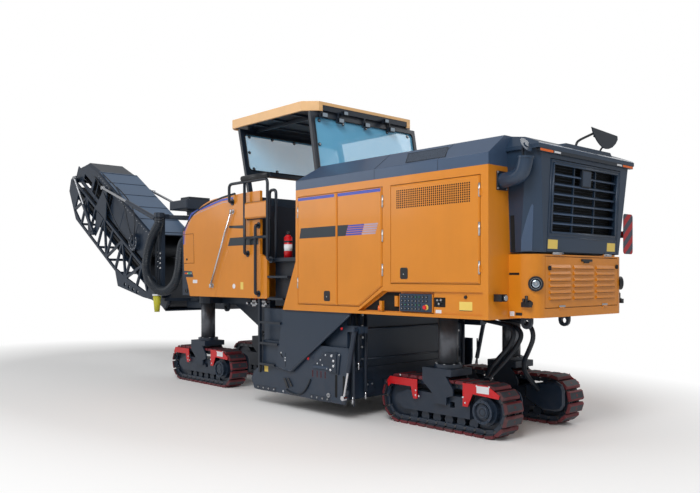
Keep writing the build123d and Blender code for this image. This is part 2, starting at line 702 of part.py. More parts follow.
# ---- canopy ----------------------------------------------------------------------------
roof_low, roof_high = 4022, 4150
roof_rear, roof_front = 2026, 3945
roof_half = 1067
roof_plan = Pos((roof_rear + roof_front) / 2, 0) * Rectangle(roof_front - roof_rear, 2 * roof_half)
roof_plan = chamfer(roof_plan.vertices().group_by(Axis.X)[0], 170)
roof_plan = chamfer(roof_plan.vertices().group_by(Axis.X)[-1], 90)
roof = Pos(0, 0, roof_low) * extrude(roof_plan, amount=roof_high - roof_low)
roof_rim = 35
valance_half, valance_high = 830, 4108
roof -= Pos(0, 0, roof_low - 10) * extrude(offset(roof_plan, -roof_rim), amount=42 + seat)
roof -= block((roof_rear - 10, roof_rear + roof_rim), (-valance_half, valance_half),
              (roof_low - 10, valance_high))
nodes["canopy_roof"] = roof
window_corner = 60
frame_thick, pane_thick = 50, 8


def screen_frame(x_low, z_low, x_high, z_high, half, bar):
    """A leaning transverse frame with its round-cornered window cut, and its pane."""
    rise = z_high - z_low
    lean = degrees(atan2(x_high - x_low, rise))
    length = hypot(rise, x_high - x_low)
    middle = Pos(x_low, 0, z_low) * Rot(0, lean, 0) * Pos(0, 0, length / 2)
    outer = middle * Box(frame_thick, 2 * half, length)
    opening = Plane.YZ * RectangleRounded(2 * (half - bar), length - 2 * bar, window_corner)
    window = middle * Pos(-frame_thick, 0, 0) * extrude(opening, amount=2 * frame_thick)
    pane = middle * Pos(-pane_thick / 2, 0, 0) * extrude(opening, amount=pane_thick)
    return outer - window, pane


front_frame, front_pane = screen_frame(3560, 3300, 3736, 4000, 1030, 70)
rear_frame, rear_pane = screen_frame(1923, 3120, 2082, 4000, 1027, 60)
rear_frame -= Pos(0, 0, seat) * hood
ceiling = Pos(0, 0, roof_low + 18) * extrude(offset(roof_plan, -roof_rim - seat), amount=14)
post_lean = atan2(3736 - 3560, 4000 - 3300)
front_post = Pos(3560, 0, 3300) * Rot(0, degrees(post_lean), 0) * block((-25, 25), (960, 1030), (-380, 0))
front_post -= block((3300, 3700), (900, 1100), (2800, console_high + seat))
frame_top = block((3711, 3761), (-850, 850), (3990, roof_low + 20))
frame_top += block((2065, 2107), (-850, 850), (3990, roof_low + 20))
valance = block((roof_rear + 4, roof_rear + roof_rim - seat), (-valance_half + seat, valance_half - seat),
                (roof_low + 13, valance_high - seat))
valance += block((roof_rear + 4, roof_rear + 2 * roof_rim), (-valance_half + seat, valance_half - seat),
                 (roof_low + 18, roof_low + 32))
nodes["canopy_frame"] = front_frame + rear_frame + ceiling + frame_top + valance + both_sides(front_post)
nodes["canopy_glass"] = [front_pane, rear_pane]

# ---- lamps under the roof's rear edge, extinguisher in the entry ----------------------------
lamp_rear, lamp_front = 1958, 2026
# side, height, top of the stem
hung_lamps = ((843, 3958, roof_low), (544, 3923, roof_low + 13), (46, 3930, roof_low + 13),
              (-458, 3934, roof_low + 13))
work_lamps = []
for y, z, stem_top in hung_lamps:
    lamp = block((lamp_rear, lamp_front), (y - 50, y + 50), (z - 32, z + 32))
    work_lamps.append(lamp + block((lamp_front - 2, lamp_front + 18), (y - 12, y + 12),
                                   (z - 10, stem_top - seat)))
for y, z in ((461, 4036), (-339, 4044)):
    lamp = block((lamp_rear, lamp_front - 10), (y - 42, y + 42), (z - 28, z + 28))
    work_lamps.append(lamp + block((lamp_front - 10, roof_rear + 4 - seat), (y - 15, y + 15), (z, z + 20)))
nodes["work_lamps"] = work_lamps

bottle_radius = 58
bottle = Pos(2220, 1160, platform_top + seat) * extrude(RegularPolygon(bottle_radius, 16), amount=320)
bottle += Pos(2220, 1160, platform_top + 320) * extrude(RegularPolygon(24, 8), amount=60)
nodes["extinguisher"] = bottle

# ---- loading conveyor --------------------------------------------------------------------
loading_wall = 40
loading_rise = atan2(loading_head[1] - loading_foot[1], loading_head[0] - loading_foot[0])
loading_run = hypot(loading_head[1] - loading_foot[1], loading_head[0] - loading_foot[0])
loading_conveyor = block((-200, loading_run), (-loading_half, loading_half),
                         (-loading_depth / 2, loading_depth / 2))
loading_conveyor -= block((-300, loading_run + 10),
                          (-loading_half + loading_wall, loading_half - loading_wall),
                          (-loading_depth / 2 + loading_wall, loading_depth / 2 - loading_wall))
loading_conveyor = Pos(loading_foot[0], 0, loading_foot[1]) * Rot(0, -degrees(loading_rise),
                                                                  0) * loading_conveyor
loading_conveyor -= block((2000, housing_front), (-400, 400), (0, 1400))
nodes["loading_conveyor"] = loading_conveyor

# ---- slew support and yoke ------------------------------------------------------------------
arm_half = 180
lower_arm_top = 1330
lower_arm_low = 1215
upper_arm_low, upper_arm_top = 2940, 3030
arm_end = slew_x + 120
hub_ring = 172
arm = side_prism([(front_nose - 150, beam_low), (front_nose, beam_low), (5560, lower_arm_top),
                  (arm_end, lower_arm_top),
                  (arm_end, lower_arm_low), (5480, lower_arm_low), (front_nose - 150, 1300)], -arm_half,
                  arm_half)
arm += bar_z(slew_x, 0, slew_pin, lower_arm_top, lower_arm_top + 90)
upper_arm = side_prism([(front_nose - 200, 2600), (front_nose, 2600), (5800, upper_arm_low),
                        (arm_end, upper_arm_low), (arm_end, upper_arm_top), (5700, upper_arm_top)],
                       -arm_half, arm_half)
upper_arm += bar_z(slew_x, 0, slew_pin, upper_arm_low - 90, upper_arm_low)
nodes["slew_support"] = [arm, upper_arm]

post_low = lower_arm_top + running_gap
post_high = upper_arm_low - running_gap
post_x = (6850, 7050)
post_thick = 60
plate_depth = 60
# the foot of the boom swings between the lower plate's two arms
fork_inner, fork_x = boom_half + 12, 6780
slew_yoke = both_sides(block(post_x, (yoke_side - post_thick, yoke_side), (post_low, post_high)))
top_plate = plan_prism([(slew_x - 10, hub_ring), (slew_x + 60, hub_ring),
                        (post_x[0] - 1, yoke_side - post_thick),
                        (post_x[0] - 1, yoke_side), (post_x[1], yoke_side), (post_x[1], -yoke_side),
                        (post_x[0] - 1, -yoke_side), (post_x[0] - 1, -yoke_side + post_thick),
                        (slew_x + 60, -hub_ring), (slew_x - 10, -hub_ring)], post_high - plate_depth,
                        post_high)
fork = [(slew_x - 10, hub_ring), (slew_x + 20, hub_ring), (fork_x - 20, yoke_side), (post_x[1], yoke_side),
        (post_x[1], fork_inner), (fork_x, fork_inner)]
low_plate = plan_prism(fork + [(x, -y) for x, y in reversed(fork)], post_low, post_low + plate_depth)
slew_yoke += top_plate + low_plate
for low in (post_low, post_high - plate_depth):
    slew_yoke += bar_z(slew_x, 0, hub_ring, low, low + plate_depth)
    slew_yoke -= bar_z(slew_x, 0, slew_pin + pin_fit, low - 5, low + plate_depth + 5)
slew_yoke -= both_sides(bar_y(lift_x, lift_z, lift_pin + pin_fit, yoke_side - post_thick - 10,
                              yoke_side + 10))

# port on the yoke's left for the dust duct
port_x, port_y, port_radius = 6720, 750, 95
port_arm = block((6690, 6900), (yoke_side - post_thick, port_y), (post_high - plate_depth, post_high))
port_arm += Pos(port_x, port_y, post_high - plate_depth) * extrude(RegularPolygon(port_radius, 16),
                                                                   amount=80)
slew_yoke += port_arm - block((6600, 6850), (0, yoke_side - 100), (post_low, post_high + 10))

# dust duct from the nose, down and round to the port
duct_radius = 83
duct_route = [(front_nose + seat, 2450), (5800, 2450), (5935, 2300), (5990, 1950), (6100, 1690),
              (6390, 1525),
              (6740, 1530), (7080, 1680), (7235, 1940), (7180, 2215), (6990, 2540), (port_x + 30, 2730),
              (port_x, 2780), (port_x, post_high - plate_depth - seat)]
duct = tube([(x, port_y, z) for x, z in duct_route], duct_radius, sides=12)
duct += Pos(6800, port_y, 1135) * extrude(RegularPolygon(35, 12), amount=330, taper=-7.5)
nodes["dust_duct"] = duct

# ears for the lift cylinders, with their pins
cylinder_eye_half = 28
cylinder_pin = 20
lift_y = 590
fold_y = 555
lift_rod_inner = lift_y - cylinder_eye_half
lift_foot = (post_x[1] + 68, post_high - 66)
ear = side_prism([(post_x[1] - 60, post_high - 60), (post_x[1] - 60, post_high),
                  (lift_foot[0] + 45, post_high),
                  (lift_foot[0] + 45, lift_foot[1] - 45), (lift_foot[0] - 40, lift_foot[1] - 45)],
                 lift_y - 90, lift_y - 60)
ear += bar_y(*lift_foot, cylinder_pin, lift_y - 60, lift_y + cylinder_eye_half + 12)
slew_yoke += both_sides(ear)
nodes["slew_yoke"] = slew_yoke


def cylinder_pair(start, eye, barrel_share, rod_share, barrel_radius, rod_radius, y):
    """Bored barrels and their rods, between two points in X-Z. Shares are of the reach and of the barrel."""
    reach = hypot(eye[0] - start[0], eye[1] - start[1])
    lean = degrees(atan2(eye[1] - start[1], eye[0] - start[0]))
    length = reach * barrel_share
    place = Pos(start[0], y, start[1]) * Rot(0, -lean, 0)
    foot_radius = barrel_radius + 5
    barrel = extrude(Plane.YZ * RegularPolygon(barrel_radius, 14), amount=length)
    barrel += disc(0, 0, foot_radius, -cylinder_eye_half, cylinder_eye_half, 14)
    for low, high in ((-100, -cylinder_eye_half), (cylinder_eye_half, 100)):
        barrel -= block((-100, foot_radius), (low, high), (-100, 100))
    barrel -= bar_y(0, 0, cylinder_pin + pin_fit, -60, 60)
    barrel -= bar_x(0, 0, rod_radius + pin_fit, foot_radius + 10, length + 10)
    stem = bar_x(0, 0, rod_radius, length * rod_share, reach)
    stem += bar_y(reach, 0, rod_radius + 16, -cylinder_eye_half, cylinder_eye_half)
    barrel, stem = place * barrel, place * stem
    return [barrel, mirrored(barrel)], [stem, mirrored(stem)]


# ---- boom sections, about the lift pivot: u along the boom, v across it ----------------------
def on_boom(shape):
    return Pos(lift_x, 0, lift_z) * Rot(0, -boom_angle, 0) * shape


def boom_point(u, v):
    """A boom point's station and height."""
    lean = radians(boom_angle)
    return lift_x + u * cos(lean) - v * sin(lean), lift_z + u * sin(lean) + v * cos(lean)


def chord_at(chord, u):
    """A chord's height at a station, between its corner points."""
    for (u_low, v_low), (u_high, v_high) in zip(chord, chord[1:]):
        if u_low <= u <= u_high:
            return v_low + (v_high - v_low) * (u - u_low) / (u_high - u_low)


def lattice_windows(top, bottom, stations, bar):
    """Triangular openings between two chords, with one diagonal in each bay."""
    windows = []
    for index, (u_low, u_high) in enumerate(zip(stations, stations[1:])):
        corners = [(u_low, chord_at(top, u_low) - bar / 2), (u_high, chord_at(top, u_high) - bar / 2),
                   (u_high, chord_at(bottom, u_high) + bar / 2), (u_low, chord_at(bottom, u_low) + bar / 2)]
        cut = 0 if index % 2 else 1
        for pick in ((0, 1, 2 + cut), (2, 3, cut)):
            face = make_face(Polyline(*[corners[corner] for corner in pick], close=True))
            windows.append(offset(face, -bar / 2, kind=Kind.INTERSECTION))
    return windows


belt_half = 400
belt_thick = 12
lower_rollers = (20, fold_reach - 310)
lower_belt_v, lower_belt_radius = -150, 120
upper_rollers = (1140, fold_reach - 150)
upper_belt_v, upper_belt_radius = 300, 110


# lower section: side frames with a lattice web, foot tray, floor, end rollers and crank brackets
lower_top = [(400, 20), (fold_reach - 60, 20)]
lower_bottom = [(400, -360), (1950, -700), (fold_reach - 550, -715), (fold_reach + 110, -330)]
lower_head = [(fold_reach + 160, -60), (fold_reach + 100, 30)]
lattice_bar = 52
lattice_bays = 8
lattice_start, lattice_end = 600, fold_reach - 350
bay = (lattice_end - lattice_start) / lattice_bays
lattice_stations = [lattice_start + index * bay for index in range(lattice_bays + 1)]
side_face = make_face(Polyline((-130, 90), (-130, -220), *lower_bottom, *lower_head, *lower_top[::-1],
                               (300, 90),
                               close=True))
for window in lattice_windows(lower_top, lower_bottom, lattice_stations, lattice_bar):
    side_face -= window
tray_edge = [(400, -360), (730, -510), (1790, -900), (2050, -703)]
side_face += make_face(Polyline(*tray_edge, (1950, -690), (400, -350), close=True))
tray_hole = 75
for u in (1000, 1180, 1360, 1540):
    v = (chord_at(lower_bottom, u) + chord_at(tray_edge, u)) / 2
    side_face -= Pos(u, v) * Rectangle(tray_hole, tray_hole)
side_frame = face_prism(side_face, boom_half - boom_wall, boom_half)
side_frame -= bar_y(fold_reach, 0, fold_pin + pin_fit, 0, boom_half + 10)
side_frame += bar_y(0, 0, lift_pin, boom_half, yoke_side)
lower = both_sides(side_frame)
inner_half = boom_half - boom_wall
lower += block((-100, fold_reach - 250), (-inner_half, inner_half), (-300, -280))
for u in (1950, 2495, 3040, fold_reach - 850):
    lower += disc(u, -680, 28, -inner_half, inner_half, 8)
for u in lower_rollers:
    lower += bar_y(u, lower_belt_v, lower_belt_radius - belt_thick - seat, -inner_half, inner_half)

lift_bracket = side_prism([(lift_eye[0] - 350, 10), (lift_eye[0] + 250, 10),
                           (lift_eye[0] + 45, lift_eye[1] + 40),
                           (lift_eye[0] - 45, lift_eye[1] + 40)], boom_half, boom_half + 25)
lift_bracket += disc(*lift_eye, 40, boom_half, lift_rod_inner - seat, 12)
fold_bracket = side_prism([(fold_foot[0] - 200, -20), (fold_foot[0] + 160, -20),
                           (fold_foot[0] + 50, fold_foot[1] - 45),
                           (fold_foot[0] - 50, fold_foot[1] - 45)], boom_half, boom_half + 12)
fold_bracket += bar_y(*fold_foot, 20, boom_half, fold_y + cylinder_eye_half)
lower += both_sides(lift_bracket + fold_bracket)
nodes["boom_lower"] = on_boom(lower)


def belt_loop(low, high, v, radius, half):
    """An endless belt round two end rollers."""
    ring = SlotCenterToCenter(high - low, 2 * radius)
    ring -= SlotCenterToCenter(high - low, 2 * (radius - belt_thick))
    belt = Pos((low + high) / 2, half, v) * extrude(Plane.XZ * ring, amount=2 * half)
    return belt


nodes["boom_lower_belt"] = on_boom(belt_loop(*lower_rollers, lower_belt_v, lower_belt_radius, belt_half))

# folded section over it: side plates with windows, cover, rollers, motor and the cranks of the fold
upper_wall = 20
shoulder_u, shoulder_v = fold_reach - 1000, 640
brow_u, brow_v = fold_reach - 350, 556
upper_outline = [(1000, 90), (1250, 60), (fold_reach - 60, 60), (fold_reach - 60, 330), (brow_u, brow_v),
                 (shoulder_u, shoulder_v), (1100, shoulder_v), (1000, 560)]
upper_face = make_face(Polyline(*upper_outline, close=True))
# station low, station high, height low, height high
for u_low, u_high, v_low, v_high in ((fold_reach - 1900, fold_reach - 1450, 150, 520),
                                     (fold_reach - 1350, fold_reach - 900, 150, 520),
                                     (fold_reach - 800, fold_reach - 350, 150, 330)):
    upper_face -= Pos((u_low + u_high) / 2, (v_low + v_high) / 2) * Rectangle(u_high - u_low, v_high - v_low)
upper_side = face_prism(upper_face, upper_half - upper_wall, upper_half)
upper_side += disc(fold_reach, 0, 85, upper_half - upper_wall, upper_half, 20)
upper_side += block((fold_reach - 85, fold_reach + 60), (upper_half - upper_wall, upper_half), (0, 330))
upper = both_sides(upper_side)
crank_outer = boom_half + 25
upper += bar_y(fold_reach, 0, fold_pin, -crank_outer, crank_outer)
crank = side_prism([(fold_reach + 60, -50), (fold_reach + 60, 60), (fold_eye[0] + 30, fold_eye[1] + 45),
                    (fold_eye[0] - 50, fold_eye[1] + 30), (fold_eye[0] - 40, fold_eye[1] - 50)],
                   boom_half + running_gap, crank_outer)
crank += disc(*fold_eye, 30, boom_half + running_gap, fold_y - cylinder_eye_half - seat, 12)
upper += both_sides(crank)
for u in upper_rollers:
    upper += bar_y(u, upper_belt_v, upper_belt_radius - belt_thick - seat, -upper_half + upper_wall,
                   upper_half - upper_wall)
motor = disc(1650, 215, 180, upper_half, boom_half, 24) - disc(1650, 215, 95, upper_half + 25,
                                                               boom_half + 10, 16)
upper += motor + disc(1650, 215, 60, upper_half, boom_half - 10, 12)

# arched cover, in a long and a sloping length
arch_rise, arch_edge, cover_sheet = 50, 60, 15
arch = [(-upper_half, 0), (-upper_half + arch_edge, arch_rise), (upper_half - arch_edge, arch_rise),
        (upper_half, 0),
        (upper_half, -cover_sheet), (upper_half - arch_edge - 2, arch_rise - cover_sheet),
        (-upper_half + arch_edge + 2, arch_rise - cover_sheet), (-upper_half, -cover_sheet)]
slope = degrees(atan2(shoulder_v - brow_v, brow_u - shoulder_u))
upper += Pos(0, 0, shoulder_v) * end_prism(arch, 1100, shoulder_u)
upper += Pos(shoulder_u, 0, shoulder_v) * Rot(0, slope, 0) * end_prism(arch, -3, brow_u - shoulder_u)
nodes["boom_upper"] = on_boom(upper)
nodes["boom_upper_belt"] = on_boom(belt_loop(*upper_rollers, upper_belt_v, upper_belt_radius, belt_half))

plate_barrels, plate_rods = cylinder_pair(plate_foot, plate_eye, 0.62, 0.55, 30, 14, plate_cylinder_y)
for index, side in enumerate(("left", "right")):
    nodes[f"plate_barrel_{side}"] = plate_barrels[index]
    nodes[f"plate_rod_{side}"] = plate_rods[index]
nodes["lift_barrels"], nodes["lift_rods"] = cylinder_pair(lift_foot, boom_point(*lift_eye), 0.52, 0.515, 45,
                                                          25, lift_y)
nodes["fold_barrels"], nodes["fold_rods"] = cylinder_pair(boom_point(*fold_foot), boom_point(*fold_eye), 0.5,
                                                          0.525,
                                                          40, 22, fold_y)

# ---- write ----------------------------------------------------------------------------------
head_u, head_v = lower_head[0]
front_reach = lift_x + head_u * cos(radians(boom_angle)) - head_v * sin(radians(boom_angle))
origin_x = round((front_reach + lid_x) / 2)
print("origin", origin_x)
for name, shape in nodes.items():
    if isinstance(shape, list):
        shape = Compound(children=shape)
    export_step(Pos(-origin_x, 0, 0) * shape, f"parts/{name}.step")
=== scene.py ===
import bmesh
import bpy
from math import atan2, cos, hypot, pi, radians, sin
from mathutils import Matrix, Vector


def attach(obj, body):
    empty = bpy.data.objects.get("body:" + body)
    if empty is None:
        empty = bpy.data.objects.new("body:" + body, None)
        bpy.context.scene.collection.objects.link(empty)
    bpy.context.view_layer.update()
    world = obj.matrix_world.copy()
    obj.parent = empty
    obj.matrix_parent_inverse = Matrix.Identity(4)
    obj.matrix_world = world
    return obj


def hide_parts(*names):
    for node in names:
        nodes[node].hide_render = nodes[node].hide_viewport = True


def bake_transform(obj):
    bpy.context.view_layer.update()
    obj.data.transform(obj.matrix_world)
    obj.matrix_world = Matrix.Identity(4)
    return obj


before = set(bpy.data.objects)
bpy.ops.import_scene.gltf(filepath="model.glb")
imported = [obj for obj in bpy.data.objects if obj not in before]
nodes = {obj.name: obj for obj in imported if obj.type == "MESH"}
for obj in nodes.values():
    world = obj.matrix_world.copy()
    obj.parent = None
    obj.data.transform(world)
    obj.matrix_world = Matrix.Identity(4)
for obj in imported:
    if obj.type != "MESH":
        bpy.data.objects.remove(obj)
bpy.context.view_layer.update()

# Places are in metres from the rear steering axis, as part.py's stations are; the frame's
# own zero is the middle of the machine.
stationShift = -4.947
machine = Matrix.Translation((stationShift, 0, 0))

# Camera and light
view = {
    "eye": (-5.6786, 7.3818, 1.7659),
    "heading": -132.468,      # degrees about Z, level
    "lens": 38.425,
    "shiftUp": 0.04486,
}
light = {
    "world": 0.42,
    # how far from the middle the floor starts and ends turning pure white, and how much of X counts
    "white": (3.9, 6.2), "alongShare": 0.6,
    "floorHalf": 90, "floorTone": 0.95,
    # place, target, width and power of each lamp
    "lamps": {
        "keyLamp": ((-9, 9, 10), (-1, 0, 1.5), 6, 900),
        "fillLamp": ((8, 10, 7), (1, 0, 1.5), 7, 300),
        "backLamp": ((-6, -9, 9), (-1, 0, 1.5), 6, 300),
    },
}


class Value:
    # wraps a shader socket, so that maths on it reads as maths
    def __init__(self, look, socket):
        self.look = look
        self.socket = socket

    def maths(self, operation, first, second):
        return self.look.node("ShaderNodeMath", {"operation": operation}, {0: first, 1: second})

    def __add__(self, other):
        return self.maths("ADD", self, other)

    __radd__ = __add__

    def __sub__(self, other):
        return self.maths("SUBTRACT", self, other)

    def __rsub__(self, other):
        return self.maths("SUBTRACT", other, self)

    def __mul__(self, other):
        return self.maths("MULTIPLY", self, other)

    __rmul__ = __mul__

    def below(self, edge):
        return self.maths("LESS_THAN", self, edge)

    def limited(self):
        return self.look.node("ShaderNodeClamp", {}, {"Value": self})


class Look:
    # one material and its nodes
    def __init__(self, name):
        self.material = bpy.data.materials.new(name)
        self.material.use_nodes = True
        self.tree = self.material.node_tree
        self.shader = self.tree.nodes["Principled BSDF"]

    def node(self, kind, settings, sockets, output=0):
        made = self.tree.nodes.new(kind)
        for key, setting in settings.items():
            setattr(made, key, setting)
        for key, value in sockets.items():
            self.feed(made.inputs[key], value)
        return Value(self, made.outputs[output])

    def feed(self, target, value):
        if isinstance(value, Value):
            self.tree.links.new(value.socket, target)
        else:
            target.default_value = value

    def surface(self, **sockets):
        for key, value in sockets.items():
            self.feed(self.shader.inputs[key.replace("_", " ")], value)
        return self.material

    def place(self):
        return self.node("ShaderNodeTexCoord", {}, {}, "Object")

    def noise(self, scale, detail=3.0, roughness=0.5, stretch=(1, 1, 1)):
        place = self.node("ShaderNodeMapping", {}, {"Vector": self.place(), "Scale": stretch})
        return self.node("ShaderNodeTexNoise", {}, {"Vector": place, "Scale": scale, "Detail": detail,
                                                    "Roughness": roughness}, "Fac")

    def along(self, axis):
        return self.node("ShaderNodeSeparateXYZ", {}, {0: self.place()}, axis)

    def between(self, value, low, high):
        # 0 below low, 1 above high
        return self.node("ShaderNodeMapRange", {"clamp": True},
                         {"Value": value, "From Min": low, "From Max": high})

    def mix(self, share, first, second):
        return self.node("ShaderNodeMix", {"data_type": "RGBA"}, {0: share, 6: first, 7: second}, 2)

    def bump(self, height, strength, distance):
        return self.node("ShaderNodeBump", {}, {"Height": height, "Strength": strength, "Distance": distance})


def rgb(colour, share=1.0):
    return (*[min(1.0, part * share) for part in colour], 1.0)


def paint(name, colour, dustAmount=0.15, roughness=0.32, coat=0.5, contrast=0.06):
    # sprayed sheet metal: faint orange peel, soft streaks, and dust that thins upwards
    look = Look(name)
    cloud = look.noise(1.6, 4, 0.55)
    streaks = look.noise(9, 3, 0.6, (1, 1, 0.12))
    tone = look.mix(look.between(cloud + streaks * 0.3, 0.45, 0.85), rgb(colour, 1 - contrast),
                    rgb(colour, 1 + contrast))
    low = 1 - look.between(look.along("Z"), 0.1, 1.2)
    grime = (low * look.between(look.noise(5, 6, 0.7), 0.42, 0.75) * dustAmount).limited()
    base = look.mix(grime, tone, rgb((0.13, 0.12, 0.12)))
    rough = (grime * 0.4 + cloud * 0.08 + (roughness - 0.04)).limited()
    return look.surface(Base_Color=base, Roughness=rough, Coat_Weight=coat, Coat_Roughness=0.1,
                        Normal=look.bump(look.noise(420, 1), 0.05, 0.0004))


def metal(name, colour, roughness, metallic=0.0, contrast=0.2, grain=60, depth=0.0006):
    # bare or moulded stuff: clouds, grain and a rough skin
    look = Look(name)
    cloud = look.noise(14, 4, 0.6)
    tone = look.mix(cloud, rgb(colour, 1 - contrast), rgb(colour, 1 + contrast))
    skin = look.noise(grain, 3)
    return look.surface(Base_Color=tone, Roughness=(cloud * 0.2 + (roughness - 0.1)).limited(),
                        Metallic=metallic,
                        Normal=look.bump(skin, 0.2, depth))


yellow = paint("bodyYellow", (0.66, 0.225, 0.010), roughness=0.34, coat=0.3, contrast=0.05)
slate = paint("frameSlate", (0.011, 0.022, 0.042), roughness=0.45, coat=0.06, dustAmount=0.12)
coverSlate = paint("coverSlate", (0.015, 0.030, 0.056), roughness=0.42, coat=0.08)
boomSlate = paint("boomSlate", (0.012, 0.024, 0.046), roughness=0.36, coat=0.2)
coverPale = paint("coverPale", (0.075, 0.135, 0.235), roughness=0.34, coat=0.2)
hoodSlate = paint("hoodSlate", (0.046, 0.082, 0.150), roughness=0.40, coat=0.15)
rearSlate = paint("rearSlate", (0.017, 0.038, 0.074), roughness=0.38, coat=0.15)
dark = paint("darkSteel", (0.007, 0.014, 0.026), roughness=0.45, coat=0.1)
red = paint("guardRed", (0.56, 0.001, 0.006), roughness=0.34, coat=0.15, dustAmount=0.04)
cream = paint("roofCream", (0.80, 0.47, 0.20), roughness=0.4, coat=0.2)
blue = paint("stripeBlue", (0.022, 0.055, 0.42), roughness=0.35, coat=0.3)
bandBlack = paint("bandBlack", (0.008, 0.018, 0.028), roughness=0.4, coat=0.2)
lilac = paint("stripeLilac", (0.42, 0.33, 0.42), roughness=0.4, coat=0.2)
white = paint("labelWhite", (0.74, 0.75, 0.78), roughness=0.5, coat=0.1, contrast=0.03)
labelYellow = paint("labelYellow", (0.82, 0.60, 0.13), roughness=0.5, coat=0.1, contrast=0.03)
lime = paint("spoutLime", (0.55, 0.52, 0.03), roughness=0.5, coat=0.1)
chrome = metal("rodChrome", (0.66, 0.68, 0.72), 0.2, 1.0, 0.06, 8, 0.0001)
zinc = metal("boltZinc", (0.55, 0.57, 0.60), 0.36, 1.0, 0.12, 90, 0.0002)
iron = metal("drumSteel", (0.10, 0.10, 0.105), 0.5, 0.8)
# grey of the lifting columns: partly worn bare steel, partly painted sheen
column = metal("columnSteel", (0.13, 0.14, 0.16), 0.40, 0.6, 0.35, 22, 0.001)
rubber = metal("beltRubber", (0.013, 0.016, 0.022), 0.62, 0.0, 0.2, 120, 0.0008)
hose = metal("hoseRubber", (0.008, 0.014, 0.024), 0.42, 0.0, 0.15, 200, 0.0004)
engine = metal("engineIron", (0.05, 0.05, 0.05), 0.6, 0.3)
black = metal("mouldedBlack", (0.010, 0.012, 0.016), 0.42, 0.0, 0.15, 260, 0.0003)
void = metal("deepShade", (0.002, 0.003, 0.004), 0.9, 0.0, 0.1, 30, 0.0002)
amber = metal("amberLens", (0.80, 0.14, 0.01), 0.2, 0.0, 0.1, 120, 0.0006)
greenKey = metal("greenKey", (0.05, 0.42, 0.24), 0.4, 0.0, 0.1, 120, 0.0002)
redKey = metal("redKey", (0.70, 0.015, 0.02), 0.35, 0.0, 0.1, 120, 0.0002)
mirrorGlass = metal("mirrorGlass", (0.5, 0.6, 0.7), 0.08, 1.0, 0.03, 6, 0.00005)


def glassLook():
    # tinted pane with a faint film of dust in places
    look = Look("screenGlass")
    film = look.between(look.noise(3, 5, 0.6), 0.45, 0.9)
    tint = look.mix(film, rgb((0.20, 0.62, 0.92)), rgb((0.24, 0.66, 0.92)))
    return look.surface(Base_Color=tint, Roughness=0.04, Alpha=0.50, Coat_Weight=0.5)


def meshLook():
    # wire cloth seen from outside: dark holes in a paler grid
    look = Look("wireMesh")
    holes = look.node("ShaderNodeTexVoronoi", {}, {"Vector": look.place(), "Scale": 95}, "Distance")
    share = look.between(holes, 0.28, 0.42)
    tone = look.mix(share, rgb((0.004, 0.005, 0.007)), rgb((0.045, 0.065, 0.10)))
    return look.surface(Base_Color=tone, Roughness=0.6)


def shoeLook():
    # pads: red paint worn off their faces, kept towards their edges, dust in places
    look = Look("trackShoes")
    wear = look.noise(16, 6, 0.72)
    tone = look.mix(look.between(wear, 0.44, 0.60), rgb((0.030, 0.034, 0.042)), rgb((0.20, 0.012, 0.022)))
    dusty = look.mix(look.between(look.noise(5, 5, 0.6), 0.5, 0.85) * 0.35, tone, rgb((0.16, 0.12, 0.11)))
    return look.surface(Base_Color=dusty, Roughness=0.62, Normal=look.bump(look.noise(70, 4), 0.3, 0.002))


def boardLook():
    # red and grey slanting bars of a hazard board
    look = Look("hazardBoard")
    slant = look.along("Y") * 0.8 + look.along("Z")
    bar = (slant - look.node("ShaderNodeMath", {"operation": "SNAP"}, {0: slant, 1: 0.17})).below(0.085)
    tone = look.mix(bar, rgb((0.05, 0.06, 0.09)), rgb((0.45, 0.008, 0.015)))
    return look.surface(Base_Color=tone, Roughness=0.4)


glass = glassLook()
mesh = meshLook()
shoes = shoeLook()
board = boardLook()

# node name starts and the material that each shows
dressing = {
    yellow: ("rear_body", "front_body", "rear_box", "louvre_door", "door_"),
    slate: ("crawler_", "slew_support", "slew_yoke", "main_frame", "loading_conveyor", "plate_barrel",
            "nose"),
    coverSlate: ("drum_housing", "side_plate"),
    boomSlate: ("boom_lower", "boom_upper", "lift_barrels", "fold_barrels"),
    hoodSlate: ("hood",),
    rearSlate: ("radiator_housing", "grille_door", "air_intake"),
    dark: ("platform", "ladders", "handrails", "canopy_frame", "rear_mirror", "work_lamps"),
    red: ("guards_", "extinguisher"),
    cream: ("canopy_roof",),
    glass: ("canopy_glass",),
    chrome: ("lift_rods", "fold_rods", "plate_rod"),
    iron: ("milling_drum",),
    engine: ("engine_block",),
    shoes: ("track_",),
    rubber: ("boom_lower_belt", "boom_upper_belt"),
    hose: ("dust_duct",),
    board: ("hazard_board",),
}
for name, node in nodes.items():
    fitting = [(len(start), material) for material, starts in dressing.items() for start in starts
               if name.startswith(start)]
    node.data.materials.clear()
    node.data.materials.append(max(fitting, key=lambda found: found[0])[1])
print("materials set on", len(nodes), "nodes")


